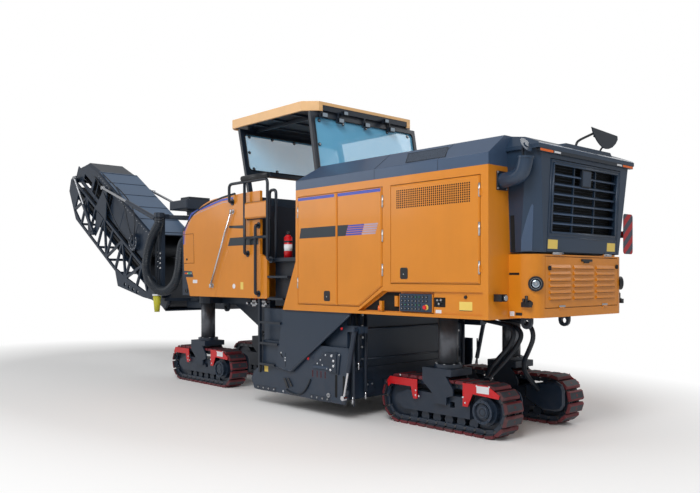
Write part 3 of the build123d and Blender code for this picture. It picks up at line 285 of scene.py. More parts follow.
# Floor, world, lamps and camera
def addFloor():
    look = Look("floorWhite")
    flatter = look.node("ShaderNodeVectorMath", {"operation": "MULTIPLY"},
                        {0: look.place(), 1: (light["alongShare"], 1, 1)})
    far = look.node("ShaderNodeVectorMath", {"operation": "LENGTH"}, {0: flatter}, "Value")
    share = look.between(far, *light["white"])
    camera = look.node("ShaderNodeLightPath", {}, {}, "Is Camera Ray")
    tone, half = light["floorTone"], light["floorHalf"]
    look.surface(Base_Color=(tone, tone, tone, 1), Roughness=0.9)
    glow = look.tree.nodes.new("ShaderNodeEmission")
    both = look.tree.nodes.new("ShaderNodeMixShader")
    look.feed(both.inputs[0], share * camera)
    look.tree.links.new(look.shader.outputs[0], both.inputs[1])
    look.tree.links.new(glow.outputs[0], both.inputs[2])
    look.tree.links.new(both.outputs[0], look.tree.nodes["Material Output"].inputs["Surface"])
    flat = bpy.data.meshes.new("floor")
    flat.from_pydata([(-half, -half, 0), (half, -half, 0), (half, half, 0), (-half, half, 0)], [],
                     [(0, 1, 2, 3)])
    floor = bpy.data.objects.new("floor", flat)
    bpy.context.scene.collection.objects.link(floor)
    flat.materials.append(look.material)


def addWorld():
    world = bpy.data.worlds.new("studio")
    bpy.context.scene.world = world
    world.use_nodes = True
    tree = world.node_tree
    soft, seen = tree.nodes["Background"], tree.nodes.new("ShaderNodeBackground")
    for background, strength in ((soft, light["world"]), (seen, 1.0)):
        background.inputs["Color"].default_value = (1, 1, 1, 1)
        background.inputs["Strength"].default_value = strength
    ray = tree.nodes.new("ShaderNodeLightPath")
    both = tree.nodes.new("ShaderNodeMixShader")
    tree.links.new(ray.outputs["Is Camera Ray"], both.inputs[0])
    tree.links.new(soft.outputs[0], both.inputs[1])
    tree.links.new(seen.outputs[0], both.inputs[2])
    tree.links.new(both.outputs[0], tree.nodes["World Output"].inputs["Surface"])


def addLamp(name, place, target, size, power):
    data = bpy.data.lights.new(name, "AREA")
    data.energy = power
    data.size = size
    lamp = bpy.data.objects.new(name, data)
    lamp.location = place
    lamp.rotation_euler = (Vector(target) - Vector(place)).to_track_quat("-Z", "Y").to_euler()
    bpy.context.scene.collection.objects.link(lamp)


addFloor()
addWorld()
for name, lamp in light["lamps"].items():
    addLamp(name, *lamp)

camera = bpy.data.objects.new("camera", bpy.data.cameras.new("camera"))
camera.location = machine @ Vector(view["eye"])
camera.rotation_euler = (radians(90), 0, radians(view["heading"]))
camera.data.lens = view["lens"]
camera.data.shift_y = view["shiftUp"]
bpy.context.scene.collection.objects.link(camera)
bpy.context.scene.camera = camera
bpy.context.scene.view_settings.view_transform = "Standard"
print("stage set")


# Building pieces
def circle(centre, across, up, radius, sides, turn=0.0):
    # places round a centre, in the plane of two directions
    centre, across, up = Vector(centre), Vector(across), Vector(up)
    angles = [2 * pi * (step + turn) / sides for step in range(sides)]
    return [centre + (across * cos(angle) + up * sin(angle)) * radius for angle in angles]


def facing(normal):
    # two directions across a normal
    turn = normal.to_track_quat("Z", "Y")
    return turn @ Vector((1, 0, 0)), turn @ Vector((0, 1, 0))


def lifted(outline, across, height):
    # an outline in the plane across an axis, as places at a height along that axis
    spots = [list(point) for point in outline]
    for spot in spots:
        spot.insert("XYZ".index(across), height)
    return spots


def drawnIn(outline, edge):
    # the outline with each corner moved in along both its sides
    area = sum(a[0] * b[1] - b[0] * a[1] for a, b in zip(outline, outline[1:] + outline[:1]))
    turn = 1 if area > 0 else -1
    moved = []
    for before, corner, after in zip(outline[-1:] + outline[:-1], outline, outline[1:] + outline[:1]):
        into = Vector(corner) - Vector(before)
        out = Vector(after) - Vector(corner)
        first = Vector((-into.y, into.x)).normalized() * turn
        second = Vector((-out.y, out.x)).normalized() * turn
        middle = first + second
        shift = middle * (edge / max(0.3, middle.dot(first)))
        moved.append((corner[0] + shift.x, corner[1] + shift.y))
    return moved


def rounded(low, high, radius, steps=4):
    # a rectangle's outline with round corners
    (x0, y0), (x1, y1) = low, high
    outline = []
    for cx, cy, start in ((x1 - radius, y1 - radius, 0), (x0 + radius, y1 - radius, 90),
                          (x0 + radius, y0 + radius, 180), (x1 - radius, y0 + radius, 270)):
        for step in range(steps + 1):
            angle = radians(start + 90 * step / steps)
            outline.append((cx + radius * cos(angle), cy + radius * sin(angle)))
    return outline


def roundedAt(x, z, wide, high, radius, steps=4):
    # the same round a middle, from its half sizes
    return rounded((x - wide, z - high), (x + wide, z + high), radius, steps)


def smoothRoute(places, name):
    # reads a smooth line from a spline with these places as its control points
    data = bpy.data.curves.new(name, "CURVE")
    data.dimensions = "3D"
    data.resolution_u = 10
    spline = data.splines.new("NURBS")
    spline.points.add(len(places) - 1)
    for point, place in zip(spline.points, places):
        point.co = (*place, 1)
    spline.order_u = 3
    spline.use_endpoint_u = True
    holder = bpy.data.objects.new(name, data)
    line = bpy.data.meshes.new_from_object(holder)
    spots = [vertex.co.copy() for vertex in line.vertices]
    bpy.data.objects.remove(holder)
    return spots


class Build:
    # one piece in the making; place maps its own coordinates to the machine's
    def __init__(self, name, place=None):
        self.name = name
        self.form = bmesh.new()
        self.looks = []
        self.current = 0
        self.place = place or Matrix.Identity(4)

    def look(self, material):
        if material not in self.looks:
            self.looks.append(material)
        self.current = self.looks.index(material)
        return self

    def points(self, places):
        return [self.form.verts.new(machine @ self.place @ Vector(place)) for place in places]

    def face(self, corners, smooth=False):
        made = self.form.faces.new(corners)
        made.material_index = self.current
        made.smooth = smooth

    def rings(self, rings, closed=False, smooth=False):
        # skins a row of rings, each a list of as many places, with flat ends unless it closes on itself
        loops = [self.points(ring) for ring in rings]
        count = len(loops[0])
        for first, second in list(zip(loops, loops[1:])) + ([(loops[-1], loops[0])] if closed else []):
            for index in range(count):
                after = (index + 1) % count
                self.face([first[index], first[after], second[after], second[index]], smooth)
        if not closed:
            self.face(loops[0][::-1])
            self.face(loops[-1])
        return self

    def slab(self, outline, across, low, high, edge=0.0):
        # outline in the plane across an axis, its far rim drawn in by edge
        rings = [lifted(outline, across, low)]
        if edge:
            rings.append(lifted(outline, across, high - (edge if high > low else -edge)))
            outline = drawnIn(outline, edge)
        return self.rings(rings + [lifted(outline, across, high)])

    def decal(self, outline, face, sunk=0.001, proud=0.001, edge=0.0):
        # a thin slab on a face across Y
        return self.slab(outline, "Y", face - sunk, face + proud, edge)

    def box(self, x, y, z, edge=0.0):
        return self.slab([(x[0], z[0]), (x[1], z[0]), (x[1], z[1]), (x[0], z[1])], "Y", *sorted(y), edge)

    def rod(self, start, end, radius, sides=12, tip=None, smooth=True):
        start, end = Vector(start), Vector(end)
        across, up = facing(end - start)
        return self.rings([circle(start, across, up, radius, sides),
                           circle(end, across, up, radius if tip is None else tip, sides)], smooth=smooth)

    def stub(self, spot, normal, deep, high, radius, sides=12, tip=None):
        # a rod that stands on a spot, from deep to high along the normal
        spot, normal = Vector(spot), Vector(normal)
        return self.rod(spot + normal * deep, spot + normal * high, radius, sides, tip)

    def chain(self, spots, radius, sides, closed=False):
        # a rod from each place to the next
        for start, end in zip(spots, spots[1:] + (spots[:1] if closed else [])):
            self.rod(start, end, radius, sides)
        return self

    def bolt(self, spot, normal, radius=0.012, height=0.008):
        # washer and head
        spot, rise = Vector(spot), Vector(normal).normalized() * height
        self.rod(spot, spot + rise * 0.4, radius * 1.35, 10, smooth=False)
        return self.rod(spot + rise * 0.3, spot + rise, radius, 6, smooth=False)

    def bolts(self, spots, normal, radius=0.012, height=0.008):
        for spot in spots:
            self.bolt(spot, normal, radius, height)
        return self

    def ring(self, centre, normal, outer, inner, depth, sides=28):
        centre, normal = Vector(centre), Vector(normal).normalized()
        across, up = facing(normal)
        corners = ((inner, 0), (outer, 0), (outer, depth), (inner, depth))
        rings = [circle(centre + normal * rise, across, up, size, sides) for size, rise in corners]
        return self.rings(rings, closed=True)

    def along(self, spots, radius, sides=10):
        # a smooth tube along places already close together
        spots = [Vector(spot) for spot in spots]
        rings = []
        up = Vector((0.13, 0.31, 0.94)).normalized()
        for index, spot in enumerate(spots):
            ahead = (spots[min(index + 1, len(spots) - 1)] - spots[max(index - 1, 0)]).normalized()
            side = ahead.cross(up).normalized()
            up = side.cross(ahead).normalized()
            rings.append(circle(spot, side, up, radius, sides))
        return self.rings(rings, smooth=True)

    def done(self, body, slot="dark_steel", replaces=(), bend=None):
        # bend names the second body of a piece that crosses a joint, and where it starts and ends to turn;
        # only whether it is given is used: such a piece is baked in place and not attached to any body
        bmesh.ops.recalc_face_normals(self.form, faces=self.form.faces)
        shape = bpy.data.meshes.new(self.name)
        self.form.to_mesh(shape)
        self.form.free()
        for material in self.looks:
            shape.materials.append(material)
        piece = bpy.data.objects.new(self.name, shape)
        bpy.context.scene.collection.objects.link(piece)
        if bend:
            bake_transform(piece)
        else:
            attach(piece, body)
        if replaces:
            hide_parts(*replaces)
        return piece


alongX, alongY, alongZ = (1, 0, 0), (0, 1, 0), (0, 0, 1)
sides = {"left": Matrix.Identity(4), "right": Matrix.Diagonal((1, -1, 1, 1))}
halfWidth = 1.275

# Side doors: skin, latch, stripes, grid of holes and hinges
doorForm = {
    "skins": {
        "front": [(1.226, 1.428), (1.226, 2.815), (1.996, 2.815), (1.996, 1.428)],
        "middle": [(0.834, 1.428), (0.445, 1.672), (0.445, 2.815), (1.218, 2.815), (1.218, 1.428)],
        "rear": [(-0.965, 1.705), (-0.965, 2.815), (0.304, 2.815), (0.304, 1.705)],
    },
    "inset": 0.005, "proud": 0.013, "roll": 0.011, "film": 0.0006,
    "latches": {"front": (1.405, 1.54), "rear": (0.085, 1.817)}, "latchHalf": (0.058, 0.064),
    "hinges": {"front": (2.000, (2.62, 1.70)), "middle": (0.434, (2.65, 2.253, 1.858)),
               "rear": (-0.959, (2.665, 2.266, 1.87))},
    "hingeHalf": 0.068,
    "grid": {"from": (0.192, 2.747), "to": (-0.838, 2.557), "columns": 37, "rows": 9, "hole": 0.0094},
    "topStripe": {"front": (1.27, 1.985), "middle": (0.46, 1.205)}, "topStripeHeights": (2.767, 2.804),
    "band": {"front": [(1.245, 2.277), (1.245, 2.410), (1.925, 2.410), (1.955, 2.277)],
             "middle": [(1.06, 2.277), (1.01, 2.410), (1.205, 2.410), (1.205, 2.277)]},
    "bandHeights": (2.277, 2.410), "bars": 5, "barLean": 0.05, "barShare": 0.72, "barGap": 0.003,
    "barRuns": ((blue, 1.055, 0.775), (lilac, 0.770, 0.54)),
}


def addDoorSkin(side, door, outline):
    piece = Build(f"{door}DoorSkin{side.title()}", sides[side])
    top, film = halfWidth + doorForm["proud"], doorForm["film"]
    piece.look(yellow).slab(drawnIn(outline, doorForm["inset"]), "Y", halfWidth + 0.0002, top,
                            doorForm["roll"])
    if door in doorForm["latches"]:
        x, z = doorForm["latches"][door]
        wide, high = doorForm["latchHalf"]
        piece.look(black).decal(roundedAt(x, z, wide, high, 0.022), top, 0.002, 0.006, 0.004)
        grip = rounded((x - wide * 0.62, z - high * 0.66), (x + wide * 0.62, z + high * 0.55), 0.014)
        piece.decal(grip, top, 0, 0.008, 0.002)
        piece.look(zinc).stub((x, top, z - 0.01), alongY, 0, 0.010, 0.007)
    if door in doorForm["topStripe"]:
        piece.look(blue).box(doorForm["topStripe"][door], (top - 0.001, top + film),
                             doorForm["topStripeHeights"])
        piece.look(bandBlack).decal(doorForm["band"][door], top, proud=film)
    if door == "middle":
        foot, head = doorForm["bandHeights"]
        pitch = (head - foot) / doorForm["bars"]
        for row in range(doorForm["bars"]):
            low = foot + row * pitch + doorForm["barGap"]
            high = low + pitch * doorForm["barShare"]
            shift = doorForm["barLean"] * (low - foot) / (head - foot)
            for material, start, end in doorForm["barRuns"]:
                piece.look(material).decal([(end - shift, low), (end - shift, high), (start - shift, high),
                                            (start - shift, low)], top, proud=film)
    if door == "rear":
        grid = doorForm["grid"]
        (x0, z0), (x1, z1), hole = grid["from"], grid["to"], grid["hole"]
        piece.look(void)
        for column in range(grid["columns"]):
            for row in range(grid["rows"]):
                x = x0 + (x1 - x0) * column / (grid["columns"] - 1)
                z = z0 + (z1 - z0) * row / (grid["rows"] - 1)
                piece.decal(roundedAt(x, z, hole, hole, hole * 0.8, 2), top, 0.0015, 0.0004)
    piece.done(f"door_{side}_{door}", "body_yellow")


def addDoorHinges(side, door):
    piece = Build(f"{door}DoorHinges{side.title()}", sides[side])
    x, heights = doorForm["hinges"][door]
    for z in heights:
        # barrel, pin and the gap between the leaves
        for material, half, radius, count in ((zinc, doorForm["hingeHalf"], 0.0115, 14),
                                              (zinc, doorForm["hingeHalf"] + 0.004, 0.005, 8),
                                              (void, 0.001, 0.0118, 14)):
            piece.look(material).stub((x, halfWidth + 0.004, z), alongZ, -half, half, radius, count)
    piece.done("chassis", "rod_chrome")


for side in sides:
    for door, outline in doorForm["skins"].items():
        addDoorSkin(side, door, outline)
        addDoorHinges(side, door)
print("doors dressed")

# Control recess on each side, under the rear door
recess = {
    "floor": 1.253, "deepFloor": 1.216, "plate": 1.2532, "proud": 0.010,
    "panel": (-0.300, 0.180), "panelHeights": (1.388, 1.590),
    "keyColumns": 8, "keyRows": 4, "keyHalf": 0.014, "keyRise": 0.044, "keyMargin": 0.06,
    "green": {(4, 3), (5, 3), (1, 1), (4, 1), (5, 1)},
    "stop": (-0.215, 1.443),
    "hollow": [(0.20, 1.386), (0.20, 1.602), (0.415, 1.602), (0.80, 1.386)],
    "lug": (0.50, 1.392),
    "pocket": ((-0.49, 1.452), (-0.33, 1.555)),
    "valves": ((-0.385, 1.525), (-0.435, 1.528), (-0.405, 1.485)),
    "label": ((-0.85, -0.68), (1.425, 1.517)), "smallLabel": ((-0.434, -0.353), (1.385, 1.422)),
    "catch": (-0.765, 1.565),
}


def addRecess(side):
    piece = Build(f"controlRecess{side.title()}", sides[side])
    low, high = recess["panel"]
    foot, head = recess["panelHeights"]
    face, top = recess["floor"], recess["floor"] + recess["proud"]
    piece.look(rearSlate).decal(rounded((low, foot), (high, head), 0.012), face, proud=recess["proud"],
                                edge=0.006)
    pitch = (high - low - recess["keyMargin"]) / recess["keyColumns"]
    half = recess["keyHalf"]
    for column in range(recess["keyColumns"]):
        for row in range(recess["keyRows"]):
            if column >= 6 and row < 2:
                continue
            x, z = high - 0.045 - column * pitch, foot + 0.035 + row * recess["keyRise"]
            piece.look(black).box((x - half, x + half), (top - 0.001, top + 0.006), (z - half, z + half),
                                  0.003)
            piece.look(greenKey if (column, row) in recess["green"] else zinc)
            piece.stub((x, top, z), alongY, 0.004, 0.011, 0.0055, 10, 0.004)
    x, z = recess["stop"]
    piece.look(labelYellow).rod((x - 0.012, top, z), (x - 0.012, top + 0.004, z), 0.030, 24)
    piece.look(redKey).stub((x, top, z), alongY, 0.002, 0.018, 0.012, 16)
    piece.stub((x, top, z), alongY, 0.014, 0.026, 0.026, 24, 0.021)
    # dark pocket in front of the panel, with its beacon
    floor = recess["deepFloor"]
    piece.look(void).decal(recess["hollow"], floor, 0.0005)
    piece.look(yellow).box((0.225, 0.275), (floor, floor + 0.03), (1.44, 1.56), 0.004)
    x, z = recess["lug"]
    piece.look(yellow).box((x - 0.035, x + 0.005), (floor, 1.262), (1.384, 1.50), 0.003)
    piece.look(amber).rod((x + 0.01, 1.248, z - 0.004), (x + 0.01, 1.248, z + 0.052), 0.023, 20, 0.019)
    piece.look(black).rod((x + 0.01, 1.248, z + 0.05), (x + 0.01, 1.248, z + 0.09), 0.009, 12)
    # window with its valves, blank labels and catch, in the plate behind
    face = recess["plate"]
    piece.look(void).decal(rounded(*recess["pocket"], 0.008), face, proud=0.0015)
    for x, z in recess["valves"]:
        piece.look(zinc).stub((x, face, z), alongY, 0, 0.018, 0.014, 16, 0.009)
        piece.look(black).box((x - 0.02, x + 0.012), (face, face + 0.012), (z - 0.03, z - 0.012), 0.003)
    width, (foot, head) = recess["label"]
    piece.look(labelYellow).box(width, (face - 0.001, face + 0.001), (foot, head))
    piece.look(black).box(width, (face - 0.001, face + 0.0014), (foot - 0.004, foot + 0.002))
    width, heights = recess["smallLabel"]
    piece.look(white).box(width, (face - 0.001, face + 0.001), heights)
    x, z = recess["catch"]
    piece.look(black).stub((x, face, z), alongY, 0, 0.016, 0.020, 16, 0.015)
    piece.done("chassis", "body_yellow")


for side in sides:
    addRecess(side)

# Hood: seams, side strip, wire vent and edge folds
hoodForm = {
    "facet": ((1.2755, 3.0355), (1.0005, 3.2402)),     # Y and Z of the side facet's foot and head
    "vent": [(0.098, 0.12), (0.235, 0.80), (-0.364, 0.80), (-0.477, 0.12)],
    "seams": (0.575, -0.40), "seam": 0.0022, "seamFoot": 2.922, "seamHead": 3.034,
    "fold": ((-1.068, 1.2712, 3.0355), (1.995, 1.2712, 3.0355)),
}


def onFacet(x, share, lift=0.0):
    # a place on the side facet, by its share of the way up, lifted off the sheet
    (footY, footZ), (headY, headZ) = hoodForm["facet"]
    run, rise = footY - headY, headZ - footZ
    size = hypot(run, rise)
    return (x, footY - run * share + lift * rise / size, footZ + rise * share + lift * run / size)


for side in sides:
    piece = Build(f"hoodDetail{side.title()}", sides[side])
    low, high = ([onFacet(*spot, lift) for spot in hoodForm["vent"]] for lift in (-0.002, 0.002))
    piece.look(mesh).rings([low, high])
    piece.look(dark).chain([onFacet(*spot, 0.0005) for spot in hoodForm["vent"]], 0.005, 8, True)
    for x in hoodForm["seams"]:
        edge = hoodForm["facet"][0][0]
        piece.rod(onFacet(x, 0.0, 0.0006), onFacet(x, 1.0, 0.0006), hoodForm["seam"], 6)
        piece.rod((x, edge, hoodForm["seamFoot"]), (x, edge, hoodForm["seamHead"]), hoodForm["seam"], 6)
    piece.look(hoodSlate).rod(*hoodForm["fold"], 0.0048, 8)
    piece.done("chassis", "hood_slate")
print("hood dressed")

# Rear: grille, lid and labels
rearForm = {
    "foot": (-1.385, 2.032), "head": (-1.440, 3.090),
    "window": (0.655, 0.205, 0.915), "edge": (0.700, 0.160, 0.945), "rows": 7, "fins": 22,
    "blankPlate": ((-0.080, 0.105), (0.765, 0.925)),
    "labels": ((-0.680, -0.500), (0.52, 0.70)), "labelHeights": (0.035, 0.130),
    "hinges": (0.535, -0.505), "hingeHalf": 0.085,
    # pale sheet on each rear corner's chamfer, made lighter as a painted highlight, and a dark strip
    "corners": (
        (hoodSlate, (((-1.205, 0.907, 2.040), (-1.300, 0.850, 2.040), (-1.300, 0.846, 2.040),
                      (-1.205, 0.902, 2.040)),
                      ((-1.230, 0.936, 2.66), (-1.335, 0.878, 2.50), (-1.335, 0.872, 2.50),
                       (-1.230, 0.930, 2.66)))),
        (void, (((-1.085, 0.9075, 2.036), (-1.135, 0.9075, 2.036), (-1.135, 0.9045, 2.036),
                 (-1.085, 0.9045, 2.036)), ((-1.085, 0.9545, 3.06), (-1.135, 0.9545, 3.06),
                                            (-1.135, 0.951, 3.06), (-1.085, 0.951, 3.06)))),
    ),
    "lidHeights": (3.036, 3.069), "lidHalf": 0.96,
    # look, start of X, Y and Z of what sits under the lid
    "underLid": ((amber, -1.455, (0.72, 0.955), (3.040, 3.064)),
                 (amber, -1.455, (-0.955, -0.72), (3.040, 3.064)),
                 (white, -1.462, (0.58, 0.70), (3.042, 3.062)),
                 (white, -1.462, (-0.70, -0.59), (3.042, 3.062))),
}
(footX, footZ), (headX, headZ) = rearForm["foot"], rearForm["head"]
rearLean = atan2(footX - headX, headZ - footZ)
onRear = Matrix.Translation((footX, 0, footZ)) @ Matrix.Rotation(-rearLean, 4, "Y")


def addGrille():
    piece = Build("grilleDetail", onRear)
    piece.look(rearSlate)
    # rolled edge of the window and of the door round it
    for (half, low, high), x, radius, count in ((rearForm["window"], -0.001, 0.012, 10),
                                                (rearForm["edge"], 0.001, 0.007, 8)):
        piece.chain([(x, -half, low), (x, half, low), (x, half, high), (x, -half, high)], radius, count, True)
    half, low, high = rearForm["window"]
    pitch = (high - low) / rearForm["rows"]
    for row in range(1, rearForm["rows"]):
        z = low + row * pitch
        piece.look(hoodSlate).rod((0.012, -half, z - 0.008), (0.012, half, z - 0.008), 0.0075, 8)
    piece.look(void).box((0.090, 0.094), (-half - 0.03, half + 0.03), (low - 0.03, high + 0.03))
    piece.look(dark)
    for row in range(rearForm["fins"]):
        z = low + (row + 0.5) * (high - low) / rearForm["fins"]
        piece.rod((0.088, -half, z), (0.088, half, z), 0.004, 6)
    (left, right), (foot, head) = rearForm["blankPlate"]
    piece.look(dark).box((-0.006, 0.03), (left, right), (foot - 0.05, head - 0.03), 0.004)
    piece.look(rearSlate).box((-0.010, -0.005), (left + 0.012, right - 0.012), (foot - 0.038, head - 0.042),
                              0.003)
    for label in rearForm["labels"]:
        piece.look(labelYellow).box((-0.0008, 0.0004), label, rearForm["labelHeights"])
    piece.done("grille_door", "hood_slate")
    strips = Build("panelHinges").look(zinc)
    for y in rearForm["hinges"]:
        low, high = y - rearForm["hingeHalf"], y + rearForm["hingeHalf"]
        strips.box((-1.397, -1.386), (low, high), (2.008, 2.028), 0.003)
        strips.rod((-1.395, low, 2.026), (-1.395, high, 2.026), 0.0075, 12)
    strips.done("chassis", "rod_chrome")


def addHousing():
    piece = Build("radiatorDetail")
    for side in (1, -1):
        # pale sheet on the corner's chamfer, its paleness a painted highlight, and a dark strip behind it
        for material, rings in rearForm["corners"]:
            piece.look(material).rings([[(x, side * y, z) for x, y, z in ring] for ring in rings])
    # under the lid: strip lamp and blank plates
    half = rearForm["lidHalf"]
    piece.look(dark).box((-1.4665, -1.42), (-half, half), rearForm["lidHeights"], 0.004)
    for material, x, width, heights in rearForm["underLid"]:
        piece.look(material).box((-1.467, x), width, heights, 0.004 if material is amber else 0.0)
    # lid: raised centre and folded lips
    piece.look(rearSlate).slab([(-0.50, 3.130), (0.50, 3.130), (0.46, 3.172), (-0.46, 3.172)], "X", -1.452,
                               -1.30)
    for y in (-0.983, 0.983):
        piece.rod((-1.09, y, 3.072), (-1.465, y, 3.072), 0.0035, 8)
    piece.look(hoodSlate).rod((-1.4655, -half, 3.112), (-1.4655, half, 3.112), 0.004, 8)
    piece.done("chassis", "hood_slate")


addGrille()
addHousing()

# Rear box: headlamps, couplers, handle and fasteners
rearBox = {
    "face": -1.385, "side": 0.930,
    "lamp": (-1.352, 0.862, 1.706), "lampNormal": (-0.62, 0.78, 0.0), "lampRadius": 0.066,
    "socket": (-1.318, 0.905, 1.500), "plugs": ((-1.30, 1.585, 0.016, 16), (-1.265, 1.555, 0.013, 16)),
    "knobs": ((0.668, 1.868), (-0.719, 1.893)),
    "handle": (0.05, -0.16, 1.955),
    "hinges": (0.432, -0.447),
    "louvres": ((-0.665, -0.265), (-0.200, 0.200), (0.265, 0.665)), "louvreFoot": 1.535, "louvrePitch": 0.065,
    "louvreRows": 6,
}


def addRearBox():
    piece = Build("rearBoxDetail")
    size, wall = rearBox["lampRadius"], rearBox["side"]
    for side in (1, -1):
        mirrored = Matrix.Diagonal((1, side, 1))
        centre = mirrored @ Vector(rearBox["lamp"])
        normal = (mirrored @ Vector(rearBox["lampNormal"])).normalized()
        piece.look(black).ring(centre - normal * 0.03, normal, size * 1.18, size * 0.86, 0.045)
        piece.look(chrome).stub(centre, normal, -0.02, 0.004, size * 0.9, 28, size * 0.86)
        piece.look(mirrorGlass).stub(centre, normal, 0.003, 0.016, size * 0.84, 28, size * 0.45)
        piece.look(chrome).stub(centre, normal, 0.014, 0.024, size * 0.2, 12)
        # socket block with its plugs under the lamp
        corner = mirrored @ Vector(rearBox["socket"])
        piece.look(black).rod(corner, corner + Vector((0, side * 0.028, 0.012)), 0.030, 20)
        piece.box((-1.350, -1.240), (side * 0.925, side * 0.965), (1.468, 1.520), 0.006)
        for x, head, radius, count in rearBox["plugs"]:
            piece.rod((x, side * 0.950, 1.50), (x, side * 0.950, head), radius, count)
        # slot, blank label and dark strip
        piece.look(void).box((-1.20, -1.075), (side * (wall - 0.002), side * (wall + 0.001)), (1.796, 1.820))
        piece.look(white).box((-1.140, -1.085), (side * wall, side * (wall + 0.0012)), (1.372, 1.420))
        piece.look(black).box((-1.235, -1.155), (side * wall, side * (wall + 0.0035)), (1.380, 1.410), 0.002)
    piece.done("chassis", "dark_steel")


def addLouvreDoor():
    piece = Build("louvreDoorDetail")
    face = rearBox["face"]
    high, low, z = rearBox["handle"]
    piece.look(black).box((face - 0.018, face), (low, high), (z - 0.012, z + 0.014), 0.005)
    piece.box((face - 0.010, face), (low + 0.05, high - 0.05), (z - 0.028, z - 0.008), 0.003)
    for y, z in rearBox["knobs"]:
        piece.rod((face, y, z), (face - 0.012, y, z), 0.026, 18, 0.021)
        piece.box((face - 0.022, face - 0.008), (y - 0.008, y + 0.008), (z - 0.024, z + 0.024), 0.003)
    for low, high in rearBox["louvres"]:
        for row in range(rearBox["louvreRows"]):
            z = rearBox["louvreFoot"] + row * rearBox["louvrePitch"]
            # shade at the slot's foot, rolled lip at its head
            piece.look(void)
            piece.box((face - 0.0152, face - 0.001), (low + 0.006, high - 0.006), (z + 0.0005, z + 0.0035))
            x, z = face - 0.0145, z + 0.0125
            piece.look(yellow).rod((x, low + 0.002, z), (x, high - 0.002, z), 0.0028, 6)
    for y in rearBox["hinges"]:
        piece.look(zinc).box((face - 0.010, face), (y - 0.055, y + 0.055), (1.458, 1.478), 0.003)
    piece.done("louvre_door", "body_yellow")


addRearBox()
addLouvreDoor()

# Rear fittings: air intake, mirror and side lamps
intake = {
    "route": ((-1.076, 1.06, 2.762), (-1.19, 1.06, 2.765), (-1.315, 1.064, 2.80), (-1.362, 1.07, 2.90),
              (-1.374, 1.072, 2.975)),
    "radius": 0.078,
    "flange": ((-1.086, -1.0703), (0.972, 1.148), (2.664, 2.858), 0.006),
    "flangeBolts": ((-1.086, 0.985, 2.68), (-1.086, 1.135, 2.68), (-1.086, 0.985, 2.845),
                    (-1.086, 1.135, 2.845)),
    "flap": (-1.372, 1.072, 3.088), "flapRadius": 0.082, "flapNormal": (-0.86, 0, 0.5),
    "flapArm": ((-1.350, -1.334), (1.060, 1.084), (2.93, 3.11), 0.004),
}


def addIntake():
    piece = Build("airIntakePipe")
    spots = smoothRoute(intake["route"], "intakeRoute")
    size = intake["radius"]
    piece.look(rearSlate).along(spots, size, 28)
    piece.ring(spots[-1] - Vector((0, 0, 0.02)), (-0.05, 0, 1), size + 0.005, size - 0.02, 0.022)
    piece.look(dark).box(*intake["flange"])
    piece.look(zinc).bolts(intake["flangeBolts"], (-1, 0, 0), 0.009)
    piece.look(rearSlate).stub(intake["flap"], intake["flapNormal"], 0, 0.010, intake["flapRadius"], 28)
    piece.stub(intake["flap"], intake["flapNormal"], 0.010, 0.018, 0.03, 16)
    piece.look(dark).box(*intake["flapArm"])
    piece.done("chassis", "hood_slate", ("air_intake",))


mirrorForm = {
    "back": -1.4995, "front": -1.4865,
    "outline": [(0.018, 3.396), (-0.538, 3.368), (-0.546, 3.325), (-0.500, 3.272), (-0.430, 3.226),
                (-0.350, 3.199), (-0.290, 3.193), (-0.225, 3.196), (-0.160, 3.222), (-0.100, 3.256),
                (-0.050, 3.297), (-0.012, 3.338)],
    "arm": ((-1.400, 0.187, 3.146), (-1.402, 0.180, 3.20), (-1.408, 0.150, 3.24), (-1.44, 0.06, 3.285),
            (-1.478, -0.06, 3.340)),
    "stay": ((-1.40, -0.313, 3.146), (-1.402, -0.313, 3.18), (-1.440, -0.313, 3.225), (-1.478, -0.313, 3.26)),
    "feet": ((0.15, 0.225), (-0.345, -0.28)), "clamps": (-0.09, -0.27, -0.42), "clampHeight": 3.335,
}


def addMirror():
    piece = Build("rearMirrorHead")
    outline, front = mirrorForm["outline"], mirrorForm["front"]
    piece.look(dark).slab(outline, "X", front, mirrorForm["back"], 0.005)
    piece.look(mirrorGlass).slab(drawnIn(outline, 0.02), "X", front - 0.001, front + 0.003)
    piece.look(black).along(smoothRoute(mirrorForm["arm"], "mirrorArm"), 0.013, 14)
    piece.along(smoothRoute(mirrorForm["stay"], "mirrorStay"), 0.010, 12)
    for foot in mirrorForm["feet"]:
        piece.look(dark).box((-1.445, -1.36), foot, (3.135, 3.162), 0.005)
    z = mirrorForm["clampHeight"]
    for y in mirrorForm["clamps"]:
        piece.look(black).box((-1.486, -1.465), (y - 0.03, y + 0.03), (z - 0.035, z + 0.035), 0.006)
        piece.look(zinc).bolt((-1.466, y, z), (1, 0, 0), 0.008)
    piece.done("chassis", "dark_steel", ("rear_mirror",))


addIntake()
addMirror()
rearLamp = Build("rearSideLamps")
for y in (1.15, -1.15):
    rearLamp.look(black).box((-1.17, -1.075), (y - 0.05, y + 0.05), (1.525, 1.600), 0.008)
    rearLamp.rod((-1.168, y, 1.562), (-1.195, y, 1.562), 0.028, 20, 0.034)
    rearLamp.look(chrome).rod((-1.19, y, 1.562), (-1.197, y, 1.562), 0.029, 20)
rearLamp.done("chassis", "dark_steel")
print("rear dressed")

# Hoses: each a tube of a given thickness along a smooth route
def addHose(name, body, places, thickness, bend=None):
    spots = smoothRoute(places, f"{name}Route")
    piece = Build(name).look(hose).along(spots, thickness / 2, 16).done(body, "belt_rubber", (), bend)


